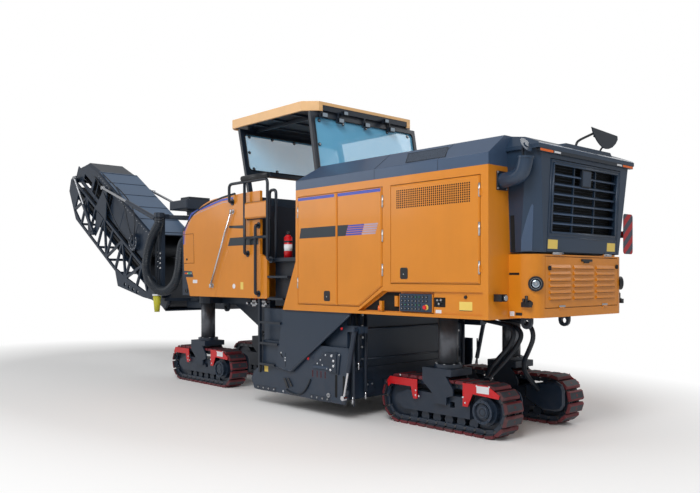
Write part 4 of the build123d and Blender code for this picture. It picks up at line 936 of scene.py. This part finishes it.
# Crawlers: shoes, chains, hubs, guard bolts
track = {
    "half": 0.645, "middle": 0.300, "seat": 0.262, "shoes": 30, "wide": 0.157,
    "padFoot": 0.062, "padTop": 0.045, "top": 0.2995,
    "chains": (0.052, 0.098),
    "link": [(-0.072, -0.052), (-0.060, -0.062), (0.058, -0.056), (0.072, -0.046), (0.072, -0.022),
             (0.050, -0.008), (-0.052, -0.008), (-0.072, -0.026)],
    "hub": (-0.645, 0.1902, 0.30), "hubBolts": 14, "hubBoltReach": 0.118,
    "guardBolts": ((-0.555, 0.575), (-0.725, 0.581), (-0.395, 0.372), (-0.365, 0.432), (0.300, 0.366),
                   (0.352, 0.372), (0.350, 0.430), (0.60, 0.590)),
    "motorCover": [(-0.36, 0.46), (-0.62, 0.515), (-0.78, 0.535), (-0.86, 0.50), (-0.893, 0.43),
                   (-0.893, 0.26), (-0.85, 0.20), (-0.78, 0.178), (-0.60, 0.172), (-0.35, 0.29)],
    "guardFace": 0.1805, "label": ((-0.725, -0.555), (0.500, 0.578)),
    "column": (0.1165, 0.76, 1.338), "columnBolts": 8, "columnBoltReach": 0.145,
}
crawlers = {"rear_left": (0, 0.625), "rear_right": (0, -0.625), "front_left": (5.250, 0.625),
            "front_right": (5.250, -0.625)}
shoeRed = paint("shoeRed", (0.13, 0.008, 0.016), dustAmount=0.5, roughness=0.55, coat=0.0, contrast=0.5)
shoeWorn = metal("shoeWorn", (0.030, 0.036, 0.048), 0.55, 0.2, 0.5, 40, 0.0015)


def shoeSpots():
    # place along the loop and the turn of each shoe about Y
    half, reach, middle = track["half"], track["seat"], track["middle"]
    straight, bend = 2 * half, pi * reach
    for index in range(track["shoes"]):
        run = (index + 0.5) * 2 * (straight + bend) / track["shoes"]
        if run < straight:
            yield (-half + run, 0, middle + reach), 0
        elif run < straight + bend:
            turn = (run - straight) / reach
            yield (half + reach * sin(turn), 0, middle + reach * cos(turn)), turn
        elif run < 2 * straight + bend:
            yield (half - (run - straight - bend), 0, middle - reach), pi
        else:
            turn = pi + (run - 2 * straight - bend) / reach
            yield (-half + reach * sin(turn), 0, middle + reach * cos(turn)), turn


def addTrack(name, station, side):
    piece = Build(f"track{name.title().replace('_', '')}")
    base = Matrix.Translation((station, side, 0))
    deep = track["top"] - track["seat"]
    foot, top, wide = track["padFoot"], track["padTop"], track["wide"]
    for spot, turn in shoeSpots():
        piece.place = base @ Matrix.Translation(spot) @ Matrix.Rotation(turn, 4, "Y")
        # plate, pad, worn face and stud
        for material, *levels in (
            (shoeWorn, (foot - 0.004, wide - 0.012, -0.010), (foot - 0.004, wide - 0.012, 0.003)),
            (shoeRed, (foot, wide, 0.002), (foot, wide, 0.012), (top, wide - 0.010, deep - 0.001)),
            (shoeWorn, (top - 0.007, wide - 0.020, deep - 0.002), (top - 0.008, wide - 0.022, deep)),
            (shoeRed, (0.016, 0.016, deep - 0.001), (0.014, 0.014, deep + 0.0004)),
        ):
            # a level rectangle from each half length, half width and height
            piece.look(material).rings([[(-x, -y, z), (x, -y, z), (x, y, z), (-x, y, z)] for x, y,
                                        z in levels])
        piece.look(boomSlate)
        for near in track["chains"]:
            for way in (1, -1):
                piece.slab(track["link"], "Y", way * near, way * (near + 0.016))
        piece.look(iron).rod((0.070, -0.122, -0.034), (0.070, 0.122, -0.034), 0.015, 10)
        bolts = [(x, y, -0.010) for x in (0.03, -0.03) for y in (-0.075, 0.075)]
        piece.look(zinc).bolts(bolts, (0, 0, -1), 0.008)
    piece.done(f"crawler_{name}", "track_rubber", (f"track_{name}",))


def addCrawlerFittings(name, station, side):
    piece = Build(f"crawlerFittings{name.title().replace('_', '')}", Matrix.Translation((station, side, 0)))
    way = 1 if side > 0 else -1
    outward = (0, way, 0)
    piece.look(boomSlate).slab(track["motorCover"], "Y", -way * 0.188, -way * 0.222, 0.022)
    x, face, z = track["hub"]
    hub = (x, way * face, z)
    piece.look(coverSlate).ring(hub, outward, 0.132, 0.104, 0.012, 36)
    piece.stub(hub, outward, -0.01, 0.010, 0.070, 28, 0.064)
    piece.look(dark).ring(hub, outward, 0.046, 0.034, 0.014, 24)
    middle = (x, way * (face + 0.011), z)
    spots = circle(middle, alongX, alongZ, track["hubBoltReach"], track["hubBolts"])
    piece.look(coverSlate).bolts(spots, outward, 0.0065, 0.006)
    face = way * track["guardFace"]
    piece.look(white).bolts(lifted(track["guardBolts"], "Y", face), outward, 0.008, 0.006)
    width, heights = track["label"]
    piece.box(width, (face, face + way * 0.0012), heights)
    # column seal, and clean grey on the column: partly bare wear, partly painted sheen
    radius, foot, head = track["column"]
    piece.look(column).rod((0, 0, foot), (0, 0, head), radius, 36)
    piece.look(boomSlate).ring((0, 0, 0.720), alongZ, 0.165, 0.112, 0.045, 32)
    spots = circle((0, 0, 0.764), alongX, alongY, track["columnBoltReach"], track["columnBolts"], 0.5)
    piece.look(zinc).bolts(spots, alongZ, 0.011)
    piece.done(f"crawler_{name}", "frame_slate")


for name, (station, side) in crawlers.items():
    addTrack(name, station, side)
    addCrawlerFittings(name, station, side)
print("crawlers dressed")

crawlerHoses = {
    "crawlerHoseA": ("left", ((0.12, -0.35, 1.338), (0.08, -0.30, 1.28), (-0.05, -0.12, 1.235),
                              (-0.30, 0, 1.215), (-0.53, 0, 1.19), (-0.60, 0, 1.09), (-0.535, 0.05, 0.936),
                              (-0.446, 0.16, 0.774), (-0.403, 0.30, 0.657), (-0.42, 0.425, 0.597))),
    "crawlerHoseB": ("right", ((0.02, -0.36, 1.338), (-0.04, -0.30, 1.29), (-0.20, -0.10, 1.262),
                               (-0.48, 0, 1.27), (-0.70, 0, 1.235), (-0.76, 0, 1.09), (-0.69, 0, 0.93),
                               (-0.57, -0.05, 0.766), (-0.50, -0.22, 0.58), (-0.56, -0.49, 0.35))),
    "crawlerHoseC": ("left", ((0.22, -0.34, 1.338), (0.16, -0.26, 1.29), (0.02, -0.06, 1.25),
                              (-0.26, 0.07, 1.235), (-0.49, 0.08, 1.205), (-0.55, 0.08, 1.10),
                              (-0.485, 0.12, 0.95), (-0.396, 0.22, 0.80), (-0.36, 0.33, 0.69),
                              (-0.40, 0.428, 0.60))),
}
for name, (side, places) in crawlerHoses.items():
    addHose(name, "chassis", places, 0.056, (f"crawler_rear_{side}", (-0.5, 0, 1.10), (-0.5, 0, 0.72)))

# Drum side: cover on the housing, and what the side plate carries
drumSide = {
    "coverFace": 1.2500, "plateFace": 1.2150,
    "cover": [(2.300, 1.322), (2.530, 0.560), (2.182, 0.515), (1.020, 1.322)],
    "coverRims": (((2.19, 0.522), (1.03, 1.316), 0.014), ((2.53, 0.562), (2.19, 0.522), 0.012)),
    "redBolts": ((1.162, 1.14), (1.812, 0.721)),
    "coverBolts": ((2.305, 0.694), (2.305, 0.659), (2.395, 0.756)),
    "slot": [(2.37, 0.69), (2.43, 0.755), (2.415, 0.768), (2.352, 0.70)],
    "bracket": [(1.544, 0.818), (1.30, 0.836), (1.228, 0.794), (1.264, 0.561), (1.409, 0.588), (1.696, 0.66)],
    "bracketPins": ((1.365, 0.791), (1.329, 0.731), (1.329, 0.667), (1.384, 0.614)),
    "bracketBolts": ((1.50, 0.79), (1.60, 0.72), (1.47, 0.62), (1.24, 0.81), (1.66, 0.67), (1.56, 0.66)),
    "lowBolts": (2.971, 2.849, 2.729, 2.605, 2.395, 1.786, 1.683, 1.574, 1.475),
    "redMarks": (1.773, 1.683, 1.607, 1.525),
    "skids": ((2.56, 3.02), (1.43, 1.83)), "skidHeights": (0.195, 0.262),
    "guides": (1.17, 1.312),
    "clips": (((2.361, 0.413), (2.288, 0.292)), ((2.283, 0.421), (2.205, 0.318))),
    "hose": ((2.325, 1.225, 0.262), (2.22, 1.232, 0.225), (2.05, 1.230, 0.215), (1.88, 1.230, 0.31),
             (1.812, 1.222, 0.451)),
}


def addDrumCover(side):
    piece = Build(f"drumCover{side.title()}", sides[side])
    face = drumSide["coverFace"]
    piece.look(coverSlate).decal(drumSide["cover"], face, 0.004, 0.003, 0.006)
    for (x0, z0), (x1, z1), radius in drumSide["coverRims"]:
        piece.rod((x0, face - 0.006, z0), (x1, face - 0.006, z1), radius, 12)
    piece.look(redKey).bolts(lifted(drumSide["redBolts"], "Y", face + 0.002), (0.3, 1, 0.3), 0.013, 0.014)
    piece.look(zinc).bolts(lifted(drumSide["coverBolts"], "Y", face + 0.003), alongY, 0.009)
    for outline in ([(2.293, 0.574), (2.301, 0.574), (2.301, 0.763), (2.293, 0.763)], drumSide["slot"]):
        piece.look(void).decal(outline, face, -0.0028, 0.0036)
    piece.done("chassis", "frame_slate")


def addSidePlate(side):
    piece = Build(f"sidePlateFittings{side.title()}", sides[side])
    face = drumSide["plateFace"]
    piece.look(slate).decal(drumSide["bracket"], face, 0, 0.016, 0.003)
    piece.box((1.29, 1.43), (face + 0.014, face + 0.030), (0.58, 0.82), 0.006)
    for x, z in drumSide["bracketPins"]:
        piece.look(chrome).stub((x, face, z), alongY, 0.029, 0.040, 0.021, 20, 0.016)
    piece.look(zinc).bolts(lifted(drumSide["bracketBolts"], "Y", face + 0.015), alongY, 0.009)
    piece.look(rearSlate).box((1.44, 1.75), (face, face + 0.022), (0.605, 0.645), 0.004)
    for x in drumSide["redMarks"]:
        piece.look(shoeRed).box((x - 0.010, x + 0.010), (face - 0.001, face + 0.0012), (0.490, 0.575))
        piece.look(void).box((x - 0.005, x + 0.005), (face, face + 0.0018), (0.495, 0.570))
    piece.look(zinc).bolts([(x, face, 0.232) for x in drumSide["lowBolts"]], alongY, 0.012, 0.010)
    for width in drumSide["skids"]:
        piece.look(slate).box(width, (face - 0.001, face + 0.004), drumSide["skidHeights"], 0.002)
    piece.look(labelYellow).box((2.742, 2.828), (face - 0.001, face + 0.0012), (0.462, 0.540))
    for x in drumSide["guides"]:
        piece.look(void).decal(rounded((x - 0.020, 0.270), (x + 0.020, 0.557), 0.019), face, proud=0.0012)
        piece.look(slate).rod((x + 0.024, face, 0.275), (x + 0.024, face, 0.552), 0.005, 8)
    for (x0, z0), (x1, z1) in drumSide["clips"]:
        clip = [(x0 + 0.02, z0), (x1 + 0.02, z1), (x1 - 0.02, z1), (x0 - 0.02, z0)]
        piece.look(black).decal(clip, face, 0, 0.020, 0.004)
    piece.look(zinc).ring((1.453, face, 0.286), alongY, 0.028, 0.014, 0.014)
    piece.look(slate).rod((0.998, face - 0.012, 0.20), (0.998, face - 0.012, 0.90), 0.010, 10)
    piece.look(hose).along(smoothRoute(drumSide["hose"], "drumHoseRoute"), 0.011, 10)
    piece.done(f"side_plate_{side}", "frame_slate")


for side in sides:
    addDrumCover(side)
    addSidePlate(side)

# Behind the drum: scraper panel, ribs and pipes on the housing's rear wall
scraperForm = {
    "wall": 1.180, "panel": (-1.02, 0.98),
    "lips": ((1.118, 0.014), (0.745, 0.012)),
    "teeth": (-0.95, -0.60, -0.25, 0.10, 0.45, 0.80),
    "pipes": ((1.10, 0.30), (1.00, 0.72), (0.88, 0.34), (-0.75, 0.40), (-1.05, 0.30)), "pipeHead": 1.335,
    "couplings": ((0.94, 1.30), (0.95, 1.16), (0.94, 1.02), (0.95, 0.90), (-0.93, 1.20), (-0.94, 1.02)),
}


def addScraper():
    piece = Build("scraperDetail")
    wall, (low, high) = scraperForm["wall"], scraperForm["panel"]
    piece.look(coverSlate).box((wall - 0.028, wall - 0.0003), (low, high), (0.74, 1.12), 0.012)
    for z, radius in scraperForm["lips"]:
        piece.rod((wall - 0.030, low, z), (wall - 0.030, high, z), radius, 12)
    for y in scraperForm["teeth"]:
        piece.look(slate).box((wall - 0.045, wall), (y - 0.075, y + 0.075), (0.30, 0.46), 0.010)
        piece.look(zinc).bolts([(wall - 0.045, y + shift, 0.42) for shift in (-0.04, 0.04)], (-1, 0, 0),
                               0.010)
    piece.look(slate).box((wall - 0.035, wall), (-1.10, 1.10), (0.575, 0.640), 0.008)
    x = wall - 0.045
    for y, low in scraperForm["pipes"]:
        piece.look(slate).rod((x, y, low), (x, y, scraperForm["pipeHead"]), 0.024, 14)
        piece.look(chrome).rod((x, y, low - 0.10), (x, y, low), 0.013, 12)
    for y, z in scraperForm["couplings"]:
        piece.look(zinc).rod((wall - 0.035, y, z), (wall - 0.060, y, z), 0.014, 10)
    piece.done("chassis", "frame_slate")


addScraper()
print("drum side dressed")

# Front body: stripes, trims, grab rod, hatch and blank labels
frontBody = {
    "face": 1.2752, "film": 0.0008,
    "lead": [(4.918, 2.300), (4.905, 2.500), (4.700, 2.752), (4.545, 2.792), (4.132, 2.860), (3.822, 2.909),
             (3.522, 2.916)],
    "stripes": ((blue, 0.0, 0.032), (lilac, -0.030, -0.020)),
    "trim": [(3.50, 2.990), (3.80, 2.962), (4.12, 2.915), (4.43, 2.840), (4.62, 2.770), (4.80, 2.655),
             (4.93, 2.520)],
    "grab": ((3.522, 2.732), (4.074, 1.648)),
    "hatch": [(4.962, 2.46), (4.632, 2.46), (4.614, 2.00), (4.962, 2.00)],
    "panel": [(4.921, 1.880), (4.676, 1.870), (4.639, 1.779), (4.889, 1.779)],
    "keys": (amber, redKey, labelYellow, greenKey, greenKey, zinc), "keyPitch": 0.036,
    "wedge": [(3.629, 2.532), (3.629, 2.50), (3.21, 2.470), (3.21, 2.520)],
    "band": [(3.602, 2.352), (3.657, 2.235), (2.890, 2.232), (2.890, 2.352)],
    "fold": ((3.67, 2.62), (3.67, 2.177), (4.003, 1.500), (3.684, 1.500)),
}


def addFrontBody(side):
    piece = Build(f"frontBodyDetail{side.title()}", sides[side])
    face, film = frontBody["face"], frontBody["film"]
    for (x0, z0), (x1, z1) in zip(frontBody["lead"], frontBody["lead"][1:]):
        ahead = Vector((x1 - x0, z1 - z0)).normalized()
        out = Vector((ahead.y, -ahead.x))
        for material, near, far in frontBody["stripes"]:
            strip = [(x + out.x * reach, z + out.y * reach) for x, z, reach in
                     ((x0, z0, near), (x1, z1, near), (x1, z1, far), (x0, z0, far))]
            piece.look(material).decal(strip, face, film, 0.0006)
    piece.look(dark).chain(lifted(frontBody["trim"], "Y", face - 0.014), 0.020, 10)
    (x0, z0), (x1, z1) = frontBody["grab"]
    grip = face + 0.040
    piece.look(chrome).rod((x0, grip, z0), (x1, grip, z1), 0.014, 16)
    for x, z, way in ((x0, z0, 1), (x1, z1, -1)):
        piece.look(zinc).stub((x, face, z), alongY, -0.001, 0.045, 0.017, 16)
        piece.stub((x, face, z), alongY, -0.001, 0.006, 0.034, 20)
        piece.rod((x, grip, z - way * 0.03), (x, grip, z + way * 0.03), 0.019, 14)
    for outline in (frontBody["wedge"], frontBody["band"]):
        piece.look(bandBlack).decal(outline, face, film, film)
    # hatch: dark gap and a rolled edge beside it, then the fold in the side sheet
    edge = [(x - 0.007, z - 0.007) for x, z in frontBody["hatch"]]
    piece.look(void).chain(lifted(frontBody["hatch"], "Y", face + 0.0003), 0.0024, 6)
    piece.look(yellow).chain(lifted(edge, "Y", face - 0.001), 0.0036, 6)
    piece.chain(lifted(frontBody["fold"], "Y", face - 0.0025), 0.0046, 8)
    piece.look(rearSlate).decal(frontBody["panel"], face, film, 0.006, 0.002)
    for index, material in enumerate(frontBody["keys"]):
        shift = index * frontBody["keyPitch"]
        piece.look(material).stub((4.868 - shift, face, 1.838), alongY, 0.005, 0.012, 0.013, 12)
        piece.look(black).box((4.845 - shift, 4.865 - shift), (face + 0.005, face + 0.009), (1.788, 1.812))
    piece.look(white).box((4.52, 4.65), (face - film, face + film), (1.684, 1.736))
    piece.look(labelYellow).box((3.26, 3.33), (face - film, face + film), (1.600, 1.705))
    piece.look(white).stub((3.50, face, 1.645), alongY, -0.0005, film, 0.036, 24)
    piece.look(black).stub((4.83, face, 2.06), alongY, -0.001, 0.008, 0.016, 14)
    piece.ring((4.84, face - 0.001, 1.56), alongY, 0.040, 0.024, 0.012)
    piece.done("chassis", "body_yellow")


for side in sides:
    addFrontBody(side)
print("front body dressed")

# Handrails, step stile, entry rail and control box
rails = {
    "radius": 0.021, "bend": 0.07, "entryBend": 0.06,
    "routes": (
        [(2.595, 1.235, 2.015), (2.595, 1.335, 2.015), (2.595, 1.335, 3.125), (3.533, 1.335, 3.125),
         (3.533, 1.335, 2.870), (3.533, 1.275, 2.870)],
        [(3.143, 1.335, 3.122), (3.143, 1.335, 2.110), (3.143, 1.277, 2.110)],
        [(2.595, 1.335, 2.330), (3.143, 1.335, 2.330)],
        [(2.880, 1.277, 1.545), (2.880, 1.335, 1.545), (2.880, 1.335, 2.500), (2.880, 1.277, 2.500)],
    ),
    "entry": [(2.581, 1.20, 2.040), (2.581, 1.20, 2.980), (2.728, 1.20, 2.980), (2.728, 1.20, 2.040)],
    "pad": ((2.585, 1.335, 3.170), (3.185, 1.335, 3.170)), "padRadius": 0.043,
    "box": ((2.600, 3.130), (1.277, 1.352), (2.596, 2.824)),
    "flanges": ((2.595, 2.015), (3.533, 2.870), (2.880, 1.545), (2.880, 2.500), (3.143, 2.110)),
}


def eased(route, bend, steps=6):
    # the route with an arc of the given reach at each corner
    spots = [Vector(route[0])]
    for before, corner, after in zip(route, route[1:], route[2:]):
        corner = Vector(corner)
        into, out = Vector(before) - corner, Vector(after) - corner
        reach = min(bend, into.length * 0.48, out.length * 0.48)
        first, last = corner + into.normalized() * reach, corner + out.normalized() * reach
        for step in range(steps + 1):
            share = step / steps
            spots.append(first * (1 - share) ** 2 + corner * 2 * share * (1 - share) + last * share ** 2)
    return spots + [Vector(route[-1])]


def addRails():
    piece = Build("handrailTubes")
    radius, (x0, x1), (y0, _), (z0, z1) = rails["padRadius"], *rails["box"]
    for side in sides.values():
        piece.place = side
        piece.look(dark)
        for route in rails["routes"]:
            piece.along(eased(route, rails["bend"]), rails["radius"], 16)
        piece.along(eased(rails["entry"], rails["entryBend"]), rails["radius"], 16)
        piece.look(black).rod(*rails["pad"], radius, 20)
        for spot, way in zip(rails["pad"], (-1, 1)):
            piece.stub(spot, (way, 0, 0), 0, 0.012, radius, 20, 0.028)
        piece.look(yellow).box(*rails["box"], 0.020)
        piece.look(dark).box((x0 - 0.012, x1 + 0.012), (y0 - 0.001, y0 + 0.028), (z0 - 0.012, z1 + 0.012),
                             0.006)
        for x, z in rails["flanges"]:
            piece.rod((x, 1.2765, z), (x, 1.284, z), 0.046, 20)
    piece.done("chassis", "dark_steel", ("handrails",))


addRails()
extinguisher = Build("extinguisherBottle")
for spot in ((2.360, 1.160, 0), (2.360, -1.160, 0)):
    x, y, z = spot
    # bottle, shoulder, neck, lever, blank label and strap, by height
    extinguisher.look(red).stub(spot, alongZ, 2.042, 2.315, 0.057, 28)
    extinguisher.stub(spot, alongZ, 2.315, 2.350, 0.057, 28, 0.024)
    extinguisher.look(black).stub(spot, alongZ, 2.345, 2.385, 0.018, 14)
    extinguisher.box((x - 0.045, x + 0.030), (y - 0.010, y + 0.010), (2.378, 2.398), 0.004)
    extinguisher.look(white).stub(spot, alongZ, 2.13, 2.22, 0.0576, 28)
    extinguisher.look(dark).ring((x, y, 2.245), alongZ, 0.062, 0.0565, 0.022)
extinguisher.done("chassis", "guard_red", ("extinguisher",))
print("rails and bottle built")

# Canopy: window seals and studs, roof edge fold, lamps with lenses
canopy = {
    # low X and Z, high X and Z, half width and bar of each screen
    "screens": ((3.560, 3.300, 3.736, 4.000, 1.030, 0.070), (1.923, 3.120, 2.082, 4.000, 1.027, 0.060)),
    # shares of a pane's half width and half height
    "studs": ((-0.9, 0.88), (-0.45, 0.9), (0, 0.9), (0.45, 0.9), (0.9, 0.88), (-0.94, 0), (0.94, 0),
              (-0.9, -0.88), (0.9, -0.88), (-0.45, -0.9), (0.45, -0.9)),
    # Y, Z and half sizes of each lamp
    "lamps": ((0.843, 3.958, 0.050, 0.032), (0.544, 3.923, 0.050, 0.032), (0.046, 3.930, 0.050, 0.032),
              (-0.458, 3.934, 0.050, 0.032), (0.461, 4.036, 0.042, 0.028), (-0.339, 4.044, 0.042, 0.028)),
    "lampRear": 1.958,
    # the roof's edge, open at its rear side
    "roof": [(2.026, 0.897), (2.196, 1.067), (3.855, 1.067), (3.945, 0.977), (3.945, -0.977), (3.855, -1.067),
             (2.196, -1.067), (2.026, -0.897)],
    "roofShift": (0.9985, 0.0045, 0.994), "roofFoot": 4.030,
    "ribs": (2.5, 2.95, 3.4),
}


def addCanopy():
    piece = Build("canopyTrim")
    for xLow, zLow, xHigh, zHigh, half, bar in canopy["screens"]:
        lean, length = atan2(xHigh - xLow, zHigh - zLow), hypot(xHigh - xLow, zHigh - zLow)
        piece.place = (Matrix.Translation((xLow, 0, zLow)) @ Matrix.Rotation(lean, 4, "Y")
                       @ Matrix.Translation((0, 0, length / 2)))
        wide, high = half - bar, length / 2 - bar
        outline = roundedAt(0, 0, wide, high, 0.060, 5)
        for face in (-0.0255, 0.0255):
            piece.look(black).along(lifted(outline + outline[:1], "X", face), 0.0085, 8)
        for y, z in canopy["studs"]:
            spot = Vector((-0.012, y * wide, z * high))
            piece.look(black).stub(spot, alongX, 0, 0.008, 0.024, 16)
            piece.look(zinc).bolt(spot, (-1, 0, 0), 0.009)
    piece.place = Matrix.Identity(4)
    rear = canopy["lampRear"]
    for y, z, wide, high in canopy["lamps"]:
        piece.look(black).box((rear + 0.0005, rear + 0.03), (y - wide, y + wide), (z - high, z + high), 0.006)
        lens = roundedAt(y, z, wide - 0.008, high - 0.007, 0.008)
        piece.look(mirrorGlass).slab(lens, "X", rear + 0.002, rear - 0.0004)
    # folded lip round the roof's foot and ribs under it
    shareX, shiftX, shareY = canopy["roofShift"]
    lip = [(x * shareX + shiftX, y * shareY, canopy["roofFoot"]) for x, y in canopy["roof"]]
    piece.look(cream).chain(lip, 0.0055, 8)
    for x in canopy["ribs"]:
        piece.look(dark).box((x - 0.03, x + 0.03), (-0.98, 0.98), (4.018, 4.041), 0.004)
    for side in (1, -1):
        piece.box((2.20, 3.70), (side * 0.70, side * 0.74), (3.985, 4.040), 0.004)
    piece.done("chassis", "frame_slate")


addCanopy()
print("canopy dressed")

# Conveyor: cover bolts, ribs, cable chain, motor rings and hoses, in the boom's own directions
boom = Matrix.Translation((6.950, 0, 1.450)) @ Matrix.Rotation(-radians(31), 4, "Y")
boomForm = {
    "half": 0.440,
    "coverRun": (1.15, 3.90), "coverBolts": 25, "sideRibs": (1.75, 2.45, 3.15, 3.85),
    "chain": ((1.05, -0.10), (4.75, -0.16)), "links": 74, "linkHalf": (0.019, 0.026),
    "motor": (1.650, 0.215), "motorSide": 0.500, "motorBolts": 12, "motorBoltReach": 0.150,
    "cover": ((1.105, 3.945), (-0.436, 0.436), (0.6905, 0.694)),
    "coverRibs": (1.20, 1.75, 2.30, 2.85, 3.40, 3.90),
}


def addBoom():
    piece = Build("boomDetail", boom)
    low, high = boomForm["coverRun"]
    steps, links = boomForm["coverBolts"] - 1, boomForm["links"]
    (u0, v0), (u1, v1) = boomForm["chain"]
    long, tall = boomForm["linkHalf"]
    for way in (1, -1):
        side, outward = way * boomForm["half"], (0, way, 0)
        bolts = [(low + (high - low) * step / steps, side, 0.60) for step in range(steps + 1)]
        piece.look(zinc).bolts(bolts, outward, 0.0085, 0.006)
        for u in boomForm["sideRibs"]:
            piece.look(coverSlate).box((u - 0.012, u + 0.012), (side, side + way * 0.006), (0.02, 0.60),
                                       0.002)
        for step in range(links):
            share = (step + 0.5) / links
            u, v = u0 + (u1 - u0) * share, v0 + (v1 - v0) * share
            piece.look(black).box((u - long, u + long), (side, side + way * 0.030), (v - tall, v + tall),
                                  0.006)
        u, v = boomForm["motor"]
        top = way * boomForm["motorSide"]
        piece.look(boomSlate).ring((u, top - way * 0.01, v), outward, 0.178, 0.120, 0.026, 40)
        piece.ring((u, top, v), outward, 0.095, 0.050, 0.020, 32)
        reach, count = boomForm["motorBoltReach"], boomForm["motorBolts"]
        piece.look(zinc).bolts(circle((u, top + way * 0.014, v), alongX, alongZ, reach, count), outward,
                               0.010)
    piece.look(coverPale).box(*boomForm["cover"])
    for u in boomForm["coverRibs"]:
        piece.look(coverSlate).rod((u, -0.43, 0.694), (u, 0.43, 0.694), 0.009, 8)
    piece.done("boom_lower", "boom_slate")


addBoom()
boomHoses = {
    "boomHoseA": (((1.66, 0.515, 0.24), (1.85, 0.57, 0.42), (2.25, 0.56, 0.72), (2.90, 0.47, 0.80),
                   (3.50, 0.44, 0.74), (3.85, 0.40, 0.69)), 0.024),
    "boomHoseB": (((1.62, 0.515, 0.28), (1.62, 0.56, 0.50), (1.84, 0.50, 0.68), (2.30, 0.40, 0.745),
                   (2.80, 0.36, 0.735), (3.20, 0.34, 0.694)), 0.020),
    "boomHoseC": (((1.70, 0.515, 0.16), (2.10, 0.56, 0.16), (2.70, 0.56, 0.30), (3.20, 0.54, 0.46),
                   (3.70, 0.48, 0.52), (4.10, 0.44, 0.50)), 0.020),
}
for name, (places, thickness) in boomHoses.items():
    addHose(name, "boom_lower", [tuple(boom @ Vector(spot)) for spot in places], thickness)
print("conveyor dressed")

# Ribbed dust duct and its spout
duct = {
    "side": 0.750,
    # X and Z along its course
    "route": ((5.450, 2.450), (5.800, 2.450), (5.935, 2.300), (5.990, 1.950), (6.100, 1.690), (6.390, 1.525),
              (6.740, 1.530), (7.080, 1.680), (7.235, 1.940), (7.180, 2.215), (6.990, 2.540), (6.750, 2.730),
              (6.720, 2.780), (6.720, 2.872)),
    "radius": 0.083, "rib": 0.034, "groove": 0.0075, "sides": 28,
    "turn": ((5.75, 0.75, 2.0), (6.70, 0.75, 2.0)),
    "spout": (6.80, 0.750),
}


def addDuct():
    spots = smoothRoute(lifted(duct["route"], "Y", duct["side"]), "ductRoute")
    runs = [0.0]
    for before, after in zip(spots, spots[1:]):
        runs.append(runs[-1] + (after - before).length)
    count = int(runs[-1] / duct["rib"] * 2)
    rings = []
    index = 0
    for step in range(count + 1):
        run = runs[-1] * step / count
        while index < len(runs) - 2 and runs[index + 1] < run:
            index += 1
        share = (run - runs[index]) / (runs[index + 1] - runs[index])
        spot = spots[index].lerp(spots[index + 1], min(1.0, share))
        across = (spots[index + 1] - spots[index]).normalized().cross(Vector(alongY)).normalized()
        size = duct["radius"] - (0.0 if step % 2 else duct["groove"])
        rings.append(circle(spot, across, alongY, size, duct["sides"]))
    piece = Build("dustDuctHose").look(hose).rings(rings)
    piece.done("chassis", "belt_rubber", ("dust_duct",), ("slew_yoke", *duct["turn"]))


addDuct()
spout = Build("ductSpout")
x, y = duct["spout"]
spout.look(lime).rod((x, y, 1.445), (x, y, 1.145), 0.075, 24, 0.046)
spout.look(white).ring((x, y, 1.440), alongZ, 0.085, 0.070, 0.030)
spout.done("slew_yoke", "boom_slate")
print("duct built")

# Yoke: valve box on top, couplings and hoses on its post
yokeForm = {
    "box": ((6.35, 6.98), (-0.28, 0.40), (3.035, 3.200), 0.015),
    "lid": ((6.45, 6.75), (-0.15, 0.30), (3.198, 3.262), 0.012),
    "bolts": ((6.40, -0.2, 3.198), (6.40, 0.32, 3.198), (6.93, -0.2, 3.198), (6.93, 0.32, 3.198)),
    "couplings": 4, "couplingFoot": 1.95, "couplingPitch": 0.09,
}
yoke = Build("yokeBox")
yoke.look(slate).box(*yokeForm["box"])
yoke.look(dark).box(*yokeForm["lid"])
yoke.look(zinc).bolts(yokeForm["bolts"], alongZ, 0.012)
for index in range(yokeForm["couplings"]):
    z = yokeForm["couplingFoot"] + index * yokeForm["couplingPitch"]
    yoke.look(white).rod((6.90, 0.625, z), (6.90, 0.645, z), 0.018, 14)
    yoke.look(chrome).rod((6.98, 0.625, z + 0.03), (6.98, 0.650, z + 0.03), 0.014, 12)
yoke.done("slew_yoke", "boom_slate")
yokeHoses = {
    "yokeHoseA": (((6.90, 0.622, 2.88), (6.88, 0.66, 2.70), (6.87, 0.67, 2.40), (6.90, 0.66, 2.05),
                   (6.91, 0.66, 1.75), (6.90, 0.622, 1.55)), 0.022),
    "yokeHoseB": (((6.95, 0.622, 2.88), (6.96, 0.66, 2.66), (6.94, 0.68, 2.35), (6.96, 0.67, 2.00),
                   (6.97, 0.66, 1.72), (6.96, 0.622, 1.50)), 0.022),
    "yokeHoseC": (((7.00, 0.622, 2.88), (7.03, 0.66, 2.62), (7.01, 0.67, 2.30), (7.02, 0.66, 1.95),
                   (7.04, 0.66, 1.68), (7.02, 0.622, 1.48)), 0.018),
}
for name, (places, thickness) in yokeHoses.items():
    addHose(name, "slew_yoke", places, thickness)

# Valves and couplings under the entry
valveForm = {"first": 3.05, "pitch": 0.12, "width": 0.09, "count": 5, "heights": (1.345, 1.440)}
valves = Build("valveCluster")
for side in (1, -1):
    for index in range(valveForm["count"]):
        x = valveForm["first"] + index * valveForm["pitch"]
        valves.look(zinc if index % 2 else slate)
        valves.box((x, x + valveForm["width"]), (side * 0.86, side * 0.96), valveForm["heights"], 0.006)
        middle = x + valveForm["width"] / 2
        valves.look(chrome).rod((middle, side * 0.965, 1.39), (middle, side * 1.00, 1.39), 0.016, 12)
        valves.look(redKey if index in (1, 3) else black)
        valves.rod((middle, side * 0.91, 1.438), (middle, side * 0.91, 1.470), 0.018, 12)
valves.done("chassis", "dark_steel")
print("yoke and valves built")
